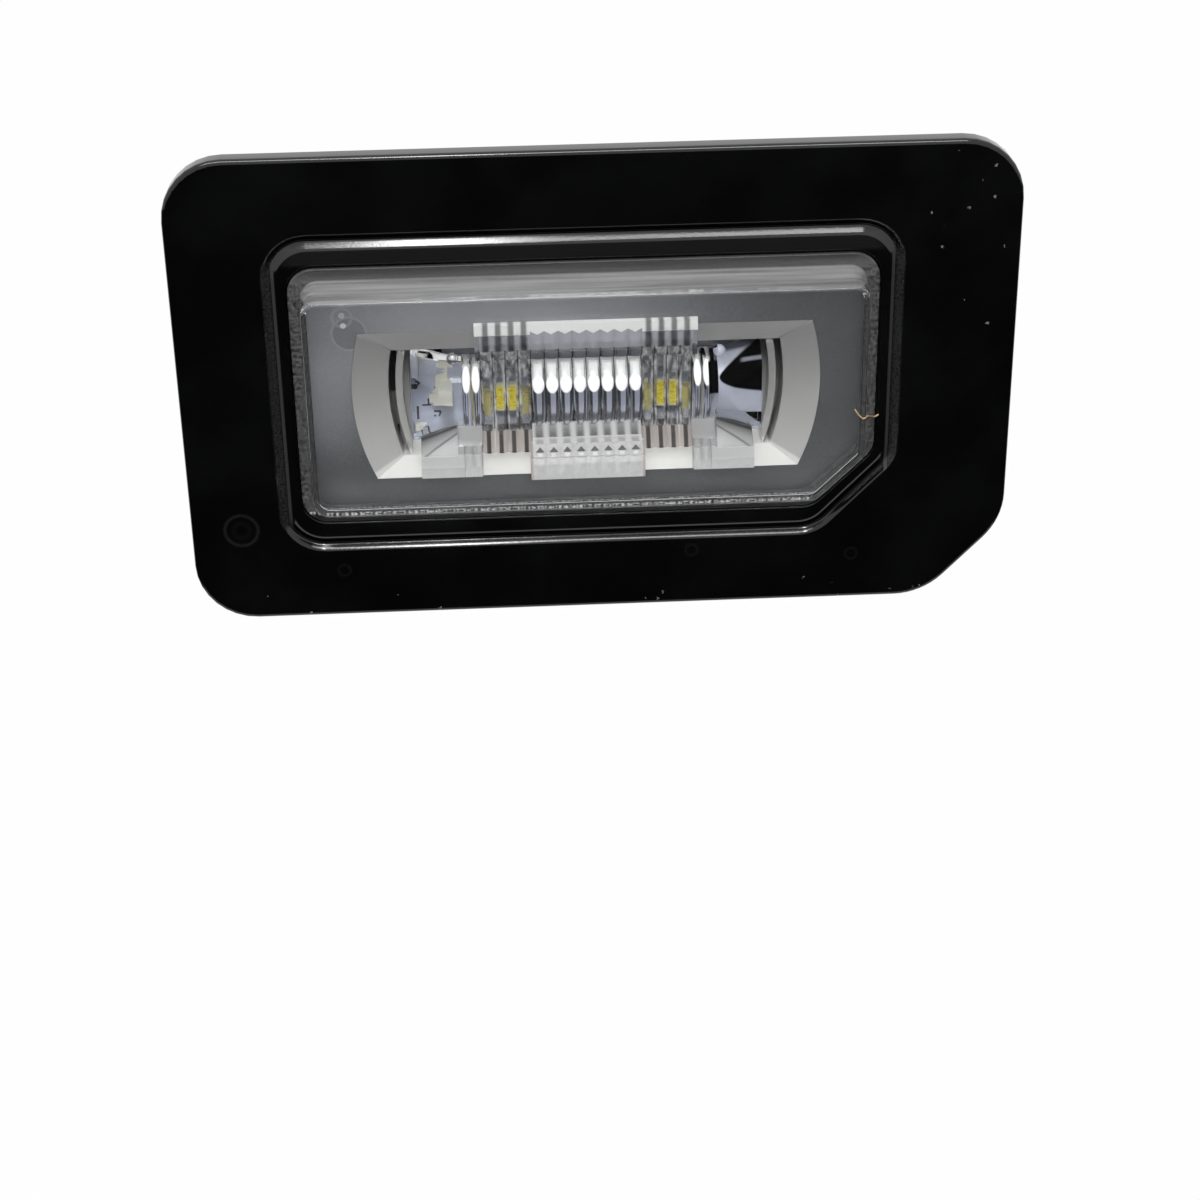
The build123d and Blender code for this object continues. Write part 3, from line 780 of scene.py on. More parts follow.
@dataclass(frozen=True)
class OpticPlastic(ClearPlastic):
    """Clear light bar with frosted tabs, and painted light, shade and views through the glass on its
    surface: painted highlights on its crests and painted dark lines between its flutes.
    """

    rows: Rows = Rows()
    horn_start: float = 12.92
    cone_start: float = 13.05
    cone_length: float = 3.9
    cone_level: float = 0.65
    led_middle: float = 7.95
    led_side: float = 1.875
    led_heights: Limits = (-3.6, -3.3, -1.2, -0.9)
    glare_heights: Limits = (0.2, 0.5, 1.9, 2.3)
    neck: Pair = (12.0, 12.95)

    @staticmethod
    def spot(wide: Value, high: Value, core: float = 0.7) -> Value:
        """1 inside a round spot of unit radius, with an edge as soft as the core is small."""
        return (wide.squared() + high.squared()).ramp(1.0, core)

    @staticmethod
    def frost_and_painted_light(s: Sketch, zone: BarZones, grain: Value) -> Socket:
        """Colour of frosted parts, with painted light and shade on the walls, slopes and top ledge, and
        painted views of what lies behind the glass.

        Args:
            s: The material.
            zone: The bar's parts.
            grain: Fine grain in the tone.

        Returns:
            The colour.
        """
        z, off = zone.z, zone.off
        rib = ~zone.bay | off.ramp(0.10, 0.34)
        crest = s.blend(zone.ends, grey(0.52), grey(0.30))
        wing = s.blend(zone.fall.ramp(0.1, 0.8), grey(0.12), grey(0.26))
        return s.layers(
            grey(0.48),
            (grain.ramp(0.3, 0.7), (0.55, 0.55, 0.54, 1.0)),
            (z.ramp(3.0, 3.6), (0.46, 0.46, 0.51, 1.0)),
            (zone.ledge, s.blend(rib, grey(0.22), (0.80, 0.80, 0.785, 1.0))),
            (zone.bay * z.below(-4.9), (0.40, 0.36, 0.34, 1.0)),
            (zone.ends * z.below(-6.0) * z.ramp(-8.3, -7.8), grey(0.37)),
            (zone.slope * ~zone.foot, s.blend((off + zone.ends).ramp(0.10, 0.46), grey(0.17), crest)),
            (zone.fan, s.blend(zone.under.ramp(0.0, 0.15), wing, grey(0.29))),
        )

    def pale(self, zone: BarZones) -> Value:
        """Share of the frost and painted light on each part."""
        # Painted highlights: bright drops at the feet of the centre flutes, and walls painted lighter where
        # the light falls on them.
        drop = self.spot(zone.off / 0.2, (zone.foot_depth - 0.72) / 0.16, 0.8)
        walls = zone.wall * (zone.bay * 0.5 + 0.12) | zone.centre * zone.top * 0.55 | zone.slope * 0.55
        return walls | zone.foot * 0.72 | zone.foot * drop | zone.fan * 0.85 | zone.frost * 0.85

    @staticmethod
    def streaks(zone: BarZones, veil: Value) -> Value:
        """Painted grey streaks on the floors of the bays, for the view through their ridges."""
        over = (zone.z.ramp(0.45, 0.8) | (-zone.z).ramp(3.6, 3.9) * 0.6) * ~zone.wall * zone.bare
        return zone.floor * (zone.off.ramp(0.22, 0.32) * 0.7 | over * (veil * 0.8 + 0.1))

    def glare(self, zone: BarZones) -> Value:
        """Painted highlights: bright spots and streaks on the barrels' crests."""
        z, off = zone.z, zone.off
        spots = zone.centre * self.spot(off / 0.47, (z - 0.38) / 0.85)
        spots = spots | zone.outer * self.spot(off / 0.45, (z - 0.95) / 1.2)
        lines = (zone.centre | zone.outer) * off.ramp(0.40, 0.28) * z.band(*self.glare_heights) * 0.6
        return (spots | lines) * zone.bare * 0.85

    def led_edges(self, zone: BarZones) -> Value:
        """Painted golden light from both sides of each LED, on the crests in front of it."""
        edge = ((zone.reach - self.led_middle).magnitude() - self.led_side).magnitude().below(0.62)
        return zone.floor * edge * zone.z.band(*self.led_heights) * zone.off.ramp(0.32, 0.18) * 0.6

    def cone(self, zone: BarZones) -> Value:
        """Painted dark cone in the right horn, where the diode is seen bent, with a painted glint in it,
        and the painted dark neck before it.
        """
        u, z, level = zone.u, zone.z, self.cone_level
        span = (u - self.cone_start) / self.cone_length | 0.0
        up, down = span.power(0.75) * 3.0, span.power(0.3) * 1.55
        above, below = (up + level - z).ramp(0.0, 0.25), (z - level + down).ramp(0.0, 0.25)
        cone = u.above(self.cone_start) * above * below
        glint = (z - 2.0 - (u - 15.2) * 0.25).near(0.0, 0.22, 0.05) * u.ramp(15.0, 15.6)
        neck = u.between(*self.neck) * z.near(0.4, 1.5, 1.3)
        return cone * (1.0 - glint * 0.6) | neck

    def dark(self, zone: BarZones, veil: Value) -> Value:
        """Painted shade: dark lines and spots between the flutes, and the cone.

        Args:
            zone: The bar's parts.
            veil: Uneven pattern along Z.

        Returns:
            The mask.
        """
        z, off, depth = zone.z, zone.off, zone.foot_depth
        upper = off.ramp(0.40, 0.12) * z.above(0.0) * (veil * 0.5 + 0.5)
        columns = zone.bay * zone.wall * (upper | off.ramp(0.22, 0.12) * z.below(0.0) * 0.85)
        slope = zone.slope * zone.centre * ~zone.foot * (-z).ramp(5.2, 6.0) * 0.5
        blob = (zone.step * zone.y.ramp(0.9, -0.2) * 0.4 | slope) * off.ramp(0.40, 0.15)
        notch = (off * 1.5 - depth).ramp(0.04, -0.04) * depth.between(0.0, 0.5)
        wedge = zone.foot * ~zone.step * notch * 0.75
        barrel = zone.centre * ~zone.wall * zone.bare * ~zone.foot * ~zone.slope
        valley_shade = (zone.floor | barrel) * off.ramp(0.44, 0.48) * 0.75
        lines = zone.fan * (zone.fall.ramp(0.3, 0.1) * 0.7 | zone.under.near(0.0, 0.14, 0.04) * 0.5)
        return columns | blob | wedge | valley_shade | self.cone(zone) | lines

    def body(self, s: Sketch) -> Socket:
        """Draw the surface that is seen."""
        zone = BarZones(s, self.rows, self.horn_start)
        grain, veil = s.noise(0.3), s.noise(0.5, at=s.stretched((1.0, 1.0, 0.4)))
        frost_and_light = s.paint(self.frost_and_painted_light(s, zone, grain), 0.35 + grain * 0.2, s.bump(grain, 0.02, 0.4))
        streak_greys = s.blend(veil.ramp(0.35, 0.65), grey(0.12), grey(0.58))
        painted_streaks = s.paint(streak_greys, 0.15 + veil * 0.2, s.bump(veil, 0.08, 0.6))
        painted_highlight = s.paint(s.blend(grain, grey(0.86), grey(0.95)), 0.2 + grain * 0.1)
        painted_led_light = s.paint(s.blend(grain, (0.34, 0.30, 0.08, 1.0), (0.46, 0.42, 0.16, 1.0)), 0.2 + grain * 0.2)
        painted_board_view = s.paint(s.blend(grain, (0.40, 0.42, 0.50, 1.0), (0.52, 0.54, 0.62, 1.0)), 0.2 + grain * 0.1)
        black = s.blend(grain, grey(0.002), grey(0.005))
        ink_and_painted_shade = s.paint(black, 0.4 + grain * 0.1, more={"Specular IOR Level": 0.0})
        # Painted view of the lavender board through the right horn.
        right_horn = zone.u.above(self.horn_start) * zone.z.above(-3.0) * ~zone.fan
        surface = self.clear(s, zone.frost)
        # Painted light, shade and views through the glass, laid in turn over the clear and frosted plastic.
        for share, layer in (
            (self.pale(zone), frost_and_light),
            (self.streaks(zone, veil), painted_streaks),
            (self.glare(zone), painted_highlight),
            (self.led_edges(zone), painted_led_light),
            (right_horn * 0.6, painted_board_view),
            (self.dark(zone, veil), ink_and_painted_shade),
        ):
            surface = s.over(share, surface, layer)
        return surface


@dataclass(frozen=True)
class GrainedPlastic(Finish):
    """Satin plastic with a fine grain and a slight cloud in its tone."""

    low: Colour
    high: Colour
    roughness: float
    grain_size: float
    grain_depth: float
    cloud_size: float = 12.0
    gloss: float = 0.5

    def draw(self, s: Sketch) -> Socket:
        """Draw the surface shader."""
        cloud, grain = s.noise(self.cloud_size), s.noise(self.grain_size)
        return s.paint(
            s.blend((cloud * 0.7 + grain * 0.3).ramp(0.3, 0.7), self.low, self.high),
            self.roughness + (grain - 0.5) * 0.12,
            s.bump(grain, self.grain_depth, 0.5),
            {"Specular IOR Level": self.gloss},
        )


@dataclass(frozen=True)
class BondBead(Finish):
    """Mottled bead that bonds the lens to its ledge, with painted glints."""

    name: str = "bond_bead"

    def draw(self, s: Sketch) -> Socket:
        """Draw the surface shader."""
        mottle = s.noise(0.6, 4.0)
        # Painted glints in the bead: bright specks.
        glint = s.specks(0.5, 0.4, 0.35)
        colour = s.layers(grey(0.03), (mottle.ramp(0.4, 0.65), grey(0.30)), (glint, grey(0.7)))
        return s.paint(colour, 0.25 + mottle * 0.3, s.bump(mottle + glint * 0.5, 0.1, 0.8))


@dataclass(frozen=True)
class BoardResist(Finish):
    """White solder resist with pads and strokes, and painted stripes of light and shade that the bar throws
    on it.
    """

    name: str = "board_resist"
    base: Colour = (0.36, 0.385, 0.47, 1.0)
    pad: Colour = (0.62, 0.60, 0.50, 1.0)
    rows: Rows = Rows()
    bright_end: float = 3.3
    shade_start: Pair = (-1.06, -1.16)
    foot_start: Pair = (-2.0, -2.06)
    pads: tuple[Box, ...] = ((-14.9, 0.7, 0.7, 0.45), (-14.9, -0.9, 0.7, 0.45))
    strokes: tuple[Box, ...] = (
        (-15.9, 1.3, 0.45, 0.09), (-15.9, -1.6, 0.45, 0.09), (-15.7, 0.95, 0.09, 0.35),
        (-15.7, -1.25, 0.09, 0.35), (-14.6, -2.3, 0.6, 0.11), (-14.6, -2.8, 0.6, 0.11),
        (-15.6, 2.5, 0.6, 0.11), (-16.8, -2.4, 0.11, 0.7),
    )
    dots: tuple[Spot, ...] = ((-17.0, 0.4, 0.3), (13.4, -2.2, 0.28))

    @staticmethod
    def boxes(u: Value, v: Value, places: Sequence[Box]) -> Value:
        """1 inside any of the boxes given by centre and half sizes."""
        found = u * 0.0
        for x, z, wide, high in places:
            found = found | (u - x).magnitude().below(wide) * (v - z).magnitude().below(high)
        return found

    def draw(self, s: Sketch) -> Socket:
        """Draw the surface shader."""
        u, v = self.rows.along(s), self.rows.across(s)
        off = self.rows.off_crest(u)
        row, bay = u.magnitude().below(self.rows.outer_end), self.rows.in_bay(u)
        weave = s.noise(0.4, 2.0)
        # Painted light and shade under the bar: a bright band, dark stripes between the flutes, and dark
        # below.
        low = (v - off.squared() * 0.9).ramp(*self.shade_start)
        bright = row * ~bay * ~low * v.below(self.bright_end)
        valley = off.ramp(0.24, 0.34) * low + off.ramp(0.38, 0.46) * ~low * 0.7
        dark = row * (valley * (1.0 - bay * 0.4) | v.ramp(*self.foot_start) * ~bay * 0.9)
        ink_and_painted_shade = self.boxes(u, v, self.strokes)
        for x, z, radius in self.dots:
            ink_and_painted_shade = ink_and_painted_shade | ((u - x).squared() + (v - z).squared()).below(radius**2)
        colour = s.layers(
            self.base,
            (bright, grey(0.95)),
            (self.boxes(u, v, self.pads), self.pad),
            (dark * 0.95 | ink_and_painted_shade * 0.97, grey(0.012)),
        )
        return s.paint(colour, 0.34 + weave * 0.15, s.bump(weave, 0.02, 0.4))


@dataclass(frozen=True)
class MaskGrain(Finish):
    """Grey satin mask with the round marks of the tool's ejector pins, painted light that brightens it
    towards the top and the left, and painted glints by the marks.
    """

    name: str = "mask_grain"
    shade: Colour = (0.073, 0.076, 0.079, 1.0)
    light: Colour = (0.235, 0.241, 0.255, 1.0)
    left_glow: Limits = (-9.0, -2.0, 2.0, 7.0)
    disc: Pair = (-24.1, 6.1)
    disc_radius: float = 1.65
    ring: Pair = (-24.7, 7.8)
    ring_radius: float = 0.95
    sparks: tuple[Pair, Pair] = ((-24.6, 6.95), (-24.7, 8.0))

    def draw(self, s: Sketch) -> Socket:
        """Draw the surface shader."""
        x, _, z = s.axes()
        cloud, grain = s.noise(6.0), s.noise(0.18)
        # Painted light: brighter towards the top and the left, dimmer at the far left, with a lighter band
        # along the left edge.
        left = (-x).ramp(22.0, 27.0) * z.band(*self.left_glow)
        glow = z.ramp(-10.0, 8.0) * x.ramp(24.0, -10.0) * (1.0 - (-x).ramp(16.0, 28.0) * 0.45)
        tone = glow + left * 0.35 + (cloud - 0.4) * 0.15 + (grain - 0.5) * 0.45
        disc, ring = s.away(self.disc), s.away(self.ring)
        disc_edge = (disc - self.disc_radius).magnitude().below(0.11)
        edge = disc_edge | (ring - self.ring_radius).magnitude().below(0.16)
        # Painted glints by the ejector marks.
        first, second = (s.away(spot) for spot in self.sparks)
        spark = first.below(0.28) | second.below(0.3) * 0.5
        colour = s.layers(
            self.shade,
            (tone, self.light),
            (disc.below(self.disc_radius) * 0.35, grey(0.07)),
            (edge * 0.5, grey(0.26)),
            (spark * 0.6, grey(0.7)),
        )
        return s.paint(colour, 0.46 + (grain - 0.5) * 0.12, s.bump(grain * 0.2 + edge, 0.04, 0.5))


@dataclass(frozen=True)
class ReflectorSatin(Finish):
    """White satin plastic of the trough with painted light and shade: the bottom wall lightest, the top
    wall and the end walls' upper parts darker, and painted shade down in its end slits.
    """

    name: str = "reflector_satin"
    low: Colour = (0.225, 0.225, 0.22, 1.0)
    high: Colour = (0.40, 0.40, 0.385, 1.0)
    top: Colour = (0.38, 0.38, 0.37, 1.0)
    bottom: Colour = (0.62, 0.615, 0.59, 1.0)
    middle: Pair = (-1.1, -1.65)
    corner: Pair = (19.5, 5.6)
    slit_start: float = 18.7
    slit_depths: Pair = (1.3, 1.8)

    def draw(self, s: Sketch) -> Socket:
        """Draw the surface shader."""
        x, y, z = s.axes()
        cloud, grain = s.noise(8.0), s.noise(0.3)
        along, across = (x - self.middle[0]).magnitude(), (z - self.middle[1]).magnitude()
        # Painted shade down in the end slits.
        slit = y.ramp(*self.slit_depths) * (1.0 - (z + 3.2).magnitude().below(1.8) * 0.6)
        slit = slit * along.above(self.slit_start) * (1.0 - x.above(0.0) * 0.6)
        end = ((along - self.corner[0]) / 3.6 - (across - self.corner[1]) / 2.1).ramp(-0.3, -0.1)
        # Painted light: the bottom wall lighter than the top wall, the end walls darker towards the top.
        colour = s.layers(
            self.bottom,
            (z.above(self.middle[1]), self.top),
            (end, s.blend(z.ramp(5.5, -8.0), self.low, self.high)),
            ((cloud * 0.7 + grain * 0.3).ramp(0.7, 0.3) * 0.12, grey(0.15)),
            (slit, grey(0.03)),
        )
        return s.paint(colour, 0.36 + (grain - 0.5) * 0.12, s.bump(grain, 0.008, 0.5))


@dataclass(frozen=True)
class LedFinish(Finish):
    """LED package or its phosphor, with painted stripes of shade that the bay's ridges throw on it."""

    low: Colour
    high: Colour
    ridge_shade: Colour
    rows: Rows = Rows()
    stripe: Pair = (0.15, 0.29)

    def draw(self, s: Sketch) -> Socket:
        """Draw the surface shader."""
        off = self.rows.off_crest(self.rows.along(s))
        grains = s.noise(0.09)
        return s.paint(
            s.layers(self.low, (grains.ramp(0.35, 0.65), self.high), (off.ramp(*self.stripe), self.ridge_shade)),
            0.18 + grains * 0.2,
            s.bump(grains, 0.01, 0.4),
            {"Coat Weight": 0.3 + grains * 0.1},
        )


@dataclass(frozen=True)
class BareMetal(Finish):
    """Rolled or plated metal with fine lines along one axis."""

    colour: Colour
    shade: Colour
    roughness: float
    stretch: Spot

    def draw(self, s: Sketch) -> Socket:
        """Draw the surface shader."""
        lines, stain = s.noise(0.2, at=s.stretched(self.stretch)), s.noise(3.0)
        return s.paint(
            s.blend((lines * 0.5 + stain * 0.5).ramp(0.3, 0.7), self.shade, self.colour),
            self.roughness + lines * 0.15 + stain * 0.08,
            s.bump(lines, 0.01, 0.4),
            {"Metallic": 1.0},
        )


@dataclass(frozen=True)
class FoamRubber(Finish):
    """Closed-cell foam: dark, with small pits."""

    name: str = "foam_rubber"
    cell: float = 0.5

    def draw(self, s: Sketch) -> Socket:
        """Draw the surface shader."""
        cells = s.value("TexVoronoi", {"Vector": s.place(), "Scale": 1 / (self.cell * MM)})
        tone = s.noise(4.0)
        colour = s.blend(tone.ramp(0.3, 0.7), grey(0.010), grey(0.022))
        return s.paint(colour, 0.82 + tone * 0.1, s.bump(cells, 0.12, 0.7))


@dataclass(frozen=True)
class WovenPatch(Finish):
    """Fine woven membrane."""

    name: str = "woven_patch"
    thread: float = 0.18

    def draw(self, s: Sketch) -> Socket:
        """Draw the surface shader."""
        inputs = {"Vector": s.place(), "Scale": 1 / (self.thread * MM)}
        weave = s.value("TexChecker", inputs, 1)
        soil = s.noise(1.4)
        colour = s.blend(soil.ramp(0.4, 0.75), grey(0.55), grey(0.42))
        return s.paint(colour, 0.75 + soil * 0.1, s.bump(weave, 0.02, 0.6))


@dataclass
class Housing:
    """Black moulding: flange with a groove round the window, tub, socket, hook and clip rails."""

    flange_size: Pair = (82.0, 48.0)
    flange_radius: float = 6.0
    flange_cut: Pair = (7.95, 8.15)
    flange_cut_radius: float = 7.0
    flange_front: float = -2.2
    edge_round: float = 0.5
    back_round: float = 0.2
    window: Pair = WINDOW
    groove_size: Pair = (61.4, 32.4)
    groove_radius: float = 4.2
    groove_cut: Pair = (7.8, 7.9)
    groove_profile: tuple[Pair, ...] = (
        (-0.50, 0.0), (-0.40, 0.02), (-0.30, 0.07), (-0.14, 0.20), (0.02, 0.34), (0.14, 0.45), (0.22, 0.50),
        (0.34, 0.50), (0.40, 0.48), (0.58, 0.37), (0.76, 0.255), (0.94, 0.135), (1.06, 0.06), (1.16, 0.02),
        (1.28, 0.0),
    )
    lens_size: Pair = (57.1, 26.5)
    lens_radius: float = 2.6
    lens_cut: Pair = (6.1, 5.9)
    seat_gap: float = 0.15
    ledge: float = 0.8
    ledge_front: float = -1.0
    tub_wall: float = 1.4
    tub_back: float = 10.2
    tub_floor: float = 1.6
    tub_round: float = 1.0
    socket_place: Pair = (-1.1, 6.0)
    socket_size: Pair = (15.0, 10.0)
    socket_wall: float = 1.3
    socket_radius: float = 2.2
    socket_mouth: float = 24.2
    latch_half_width: float = 2.0
    latch_length: float = 3.0
    latch_rise: float = 1.1
    latch_setback: float = 4.0
    rib_place: float = 3.0
    rib_half_width: float = 0.7
    hook_half_height: float = 5.0
    hook_reach: float = 4.0
    hook_front: float = 2.6
    hook_tip: float = 3.8
    hook_back: float = 5.0
    gusset_front: float = 2.7
    gusset_reach: float = 2.4
    gusset_thickness: float = 1.6
    rail_span: Pair = (4.1, 5.5)
    rail_height: float = 1.4
    rail_length: float = 5.0
    rail_setback: float = 0.9
    lip_span: Pair = (3.4, 5.4)
    lip_start: float = 0.6
    soft_edge: float = 0.3
    fitting_edge: float = 0.15
    spare: float = 0.1
    hair: float = 0.01

    def lens_outline(self) -> Outline:
        """Outline of the lens rim."""
        return Outline(*self.lens_size, self.lens_radius, self.lens_cut, self.lens_radius, *self.window)

    def shell(self) -> Piece:
        """Flange, groove, lens seat and tub as one skin, from the tub's back round to its floor inside."""
        tub = self.lens_outline()
        plate = Outline(*self.flange_size, self.flange_radius, self.flange_cut, self.flange_cut_radius)
        bend = self.groove_radius
        groove = Outline(*self.groove_size, bend, self.groove_cut, bend, *self.window)
        out, back, turn = self.ledge - self.tub_wall, self.tub_back, self.tub_round
        front, edge, soft = self.flange_front, self.edge_round, self.soft_edge
        seat, lip = -self.seat_gap, self.ledge_front
        rings = tub.fillet((out + turn, back), (out, back), (out, back - turn))
        rings.append(tub.ring(0.0, out))
        rings += plate.fillet((self.back_round, 0.0), (0.0, 0.0), (0.0, -self.back_round), 2)
        rings += plate.fillet((0.0, front + edge), (0.0, front), (edge, front), 5)
        rings += [groove.ring(front + down, inset) for inset, down in self.groove_profile]
        rings += tub.fillet((seat - soft, front), (seat, front), (seat, front + soft), 4)
        rings.append(tub.ring(lip, seat))
        rings.append(tub.ring(lip, self.ledge))
        rings.append(tub.ring(back - self.tub_floor, self.ledge))
        return Bench.skin("housing", rings)

    def socket(self) -> Piece:
        """Open shroud for the plug with a latch ramp and two keying ribs."""
        x, z = self.socket_place
        width, height = self.socket_size
        shroud = Outline(width, height, self.socket_radius, x=x, z=z)
        foot, mouth, wall = self.tub_back, self.socket_mouth, self.socket_wall
        soft, spare = self.soft_edge, self.spare
        rings = [shroud.ring(foot - spare)]
        rings += shroud.fillet((0.0, mouth - soft), (0.0, mouth), (soft, mouth))
        rings += shroud.fillet((wall - soft, mouth), (wall, mouth), (wall, mouth - soft))
        rings.append(shroud.ring(foot + self.hair, wall))
        piece = Bench.skin("socket", rings)
        top, bottom, end = z + height / 2, z - height / 2, mouth - self.latch_setback
        start = end - self.latch_length
        ramp = ((start, top - spare), (start, top + self.latch_rise), (end, top - spare))
        edge = [Vector((x - self.latch_half_width, y, level)) for y, level in ramp]
        details = [Bench.prism("latch", edge, Vector((2 * self.latch_half_width, 0, 0)))]
        half = self.rib_half_width
        for side in (-1, 1):
            middle = x + side * self.rib_place
            low = (middle - half, foot - spare, bottom - half)
            details.append(Bench.block("rib", low, (middle + half, end, bottom + spare)))
        for detail in details:
            Bench.soften(detail, self.fitting_edge)
        Bench.join(piece, details)
        return piece

    def side(self, sign: int) -> float:
        """X of the tub's outer wall on the left (-1) or the right (1)."""
        return self.window[0] + sign * (self.lens_size[0] / 2 + self.tub_wall - self.ledge)

    def hook(self) -> Piece:
        """Fixed lug on the left wall with two gussets."""
        wall, low = self.side(-1), self.window[1] - self.hook_half_height
        inside, tip, height = wall + self.spare, wall - self.hook_reach, 2 * self.hook_half_height
        front = self.hook_front
        lug = ((inside, front), (tip, front), (tip, self.hook_tip), (inside, self.hook_back))
        piece = Bench.prism("hook", [Vector((x, y, low)) for x, y in lug], Vector((0, 0, height)))
        front, back = self.gusset_front, self.tub_back - self.tub_round
        web = ((inside, front), (wall - self.gusset_reach, front), (inside, back))
        thick = self.gusset_thickness
        for level in (low, low + height - thick):
            corners = [Vector((x, y, level)) for x, y in web]
            Bench.weld(piece, Bench.prism("gusset", corners, Vector((0, 0, thick))))
        return piece

    def rails(self) -> list[Piece]:
        """Two rails with lips on the right wall that hold the spring clip."""
        wall, middle, hair = self.side(1), self.window[1], self.hair
        back = self.tub_back - self.tub_round - self.rail_setback
        front, top = back - self.rail_length, wall + self.rail_height
        made = []
        for sign in (-1, 1):
            low, high = sorted(middle + sign * place for place in self.rail_span)
            rail = Bench.block("rail", (wall - self.spare, front, low), (top, back, high))
            low, high = sorted(middle + sign * place for place in self.lip_span)
            near, far = (wall + self.lip_start, front + hair, low), (top - hair, back - hair, high)
            Bench.weld(rail, Bench.block("lip", near, far))
            made.append(rail)
        return made

    def build(self) -> Piece:
        """Put the moulding together.

        Returns:
            The finished piece.
        """
        body = self.shell()
        Bench.polish(body)
        socket = self.socket()
        Bench.polish(socket)
        fittings = [self.hook(), *self.rails()]
        for fitting in fittings:
            Bench.soften(fitting, self.fitting_edge)
        Bench.join(body, [socket, *fittings])
        return body


@dataclass
class Lens:
    """Clear moulding: flat rim and hollow dome with steep walls, of which the upper one leans most."""

    outline: Outline
    rim_front: float = -2.4
    rim_back: float = -1.2
    rim_width: float = 1.1
    dome_height: float = 3.3
    side_draft: float = 5.0
    top_draft: float = 21.0
    bottom_draft: float = 14.0
    front_wall: float = 1.3
    side_wall: float = 0.4
    dome_radius: float = 1.9
    hollow_radius: float = 1.5
    dome_round: float = 0.3
    hollow_round: float = 0.2
    least_radius: float = 0.5
    shoulder_steps: int = 6
    soft_edge: float = 0.15
    smooth_angle: float = 50.0

    def build(self) -> Piece:
        """Model the lens as one skin, from its dome round to its hollow.

        Returns:
            The finished piece.
        """
        rim = self.outline
        front, back, soft = self.rim_front, self.rim_back, self.soft_edge
        top = front - self.dome_height
        hollow = self.rim_width + self.side_wall
        rings = self.bend((self.rim_width, front), top, self.dome_radius, self.dome_round)
        rings.append(rim.ring(front, self.rim_width, self.dome_radius))
        rings += rim.fillet((soft, front), (0.0, front), (0.0, front + soft))
        rings += rim.fillet((0.0, back - soft), (0.0, back), (soft, back), 2)
        rings.append(rim.ring(back, hollow, self.hollow_radius))
        ceiling = top + self.front_wall
        rings += reversed(self.bend((hollow, back), ceiling, self.hollow_radius, self.hollow_round))
        piece = Bench.skin("lens", rings)
        Bench.polish(piece, self.smooth_angle)
        return piece

    def bend(self, foot: Pair, top: float, radius: float, turn: float) -> list[list[Vector]]:
        """Rings of a dome's rounded shoulder, from its flat top to its leaning wall.

        Args:
            foot: Inset and depth of the wall's foot.
            top: Depth of the flat top.
            radius: Corner radius at the foot.
            turn: Size of the rounded shoulder.

        Returns:
            The rings.
        """
        lean = math.tan(math.radians(self.side_draft))
        further = math.tan(math.radians(self.top_draft)) - lean
        lower = math.tan(math.radians(self.bottom_draft)) - lean
        edge = foot[0] + (foot[1] - top) * lean
        rings = []
        for k in range(self.shoulder_steps + 1):
            t = k / self.shoulder_steps
            inset = curve(edge + turn, edge, edge - turn * lean, t)
            y = top + t**2 * turn
            size, height = max(radius - (inset - foot[0]), self.least_radius), foot[1] - y
            rings.append(self.outline.ring(y, inset, size, height * further, height * lower))
        return rings


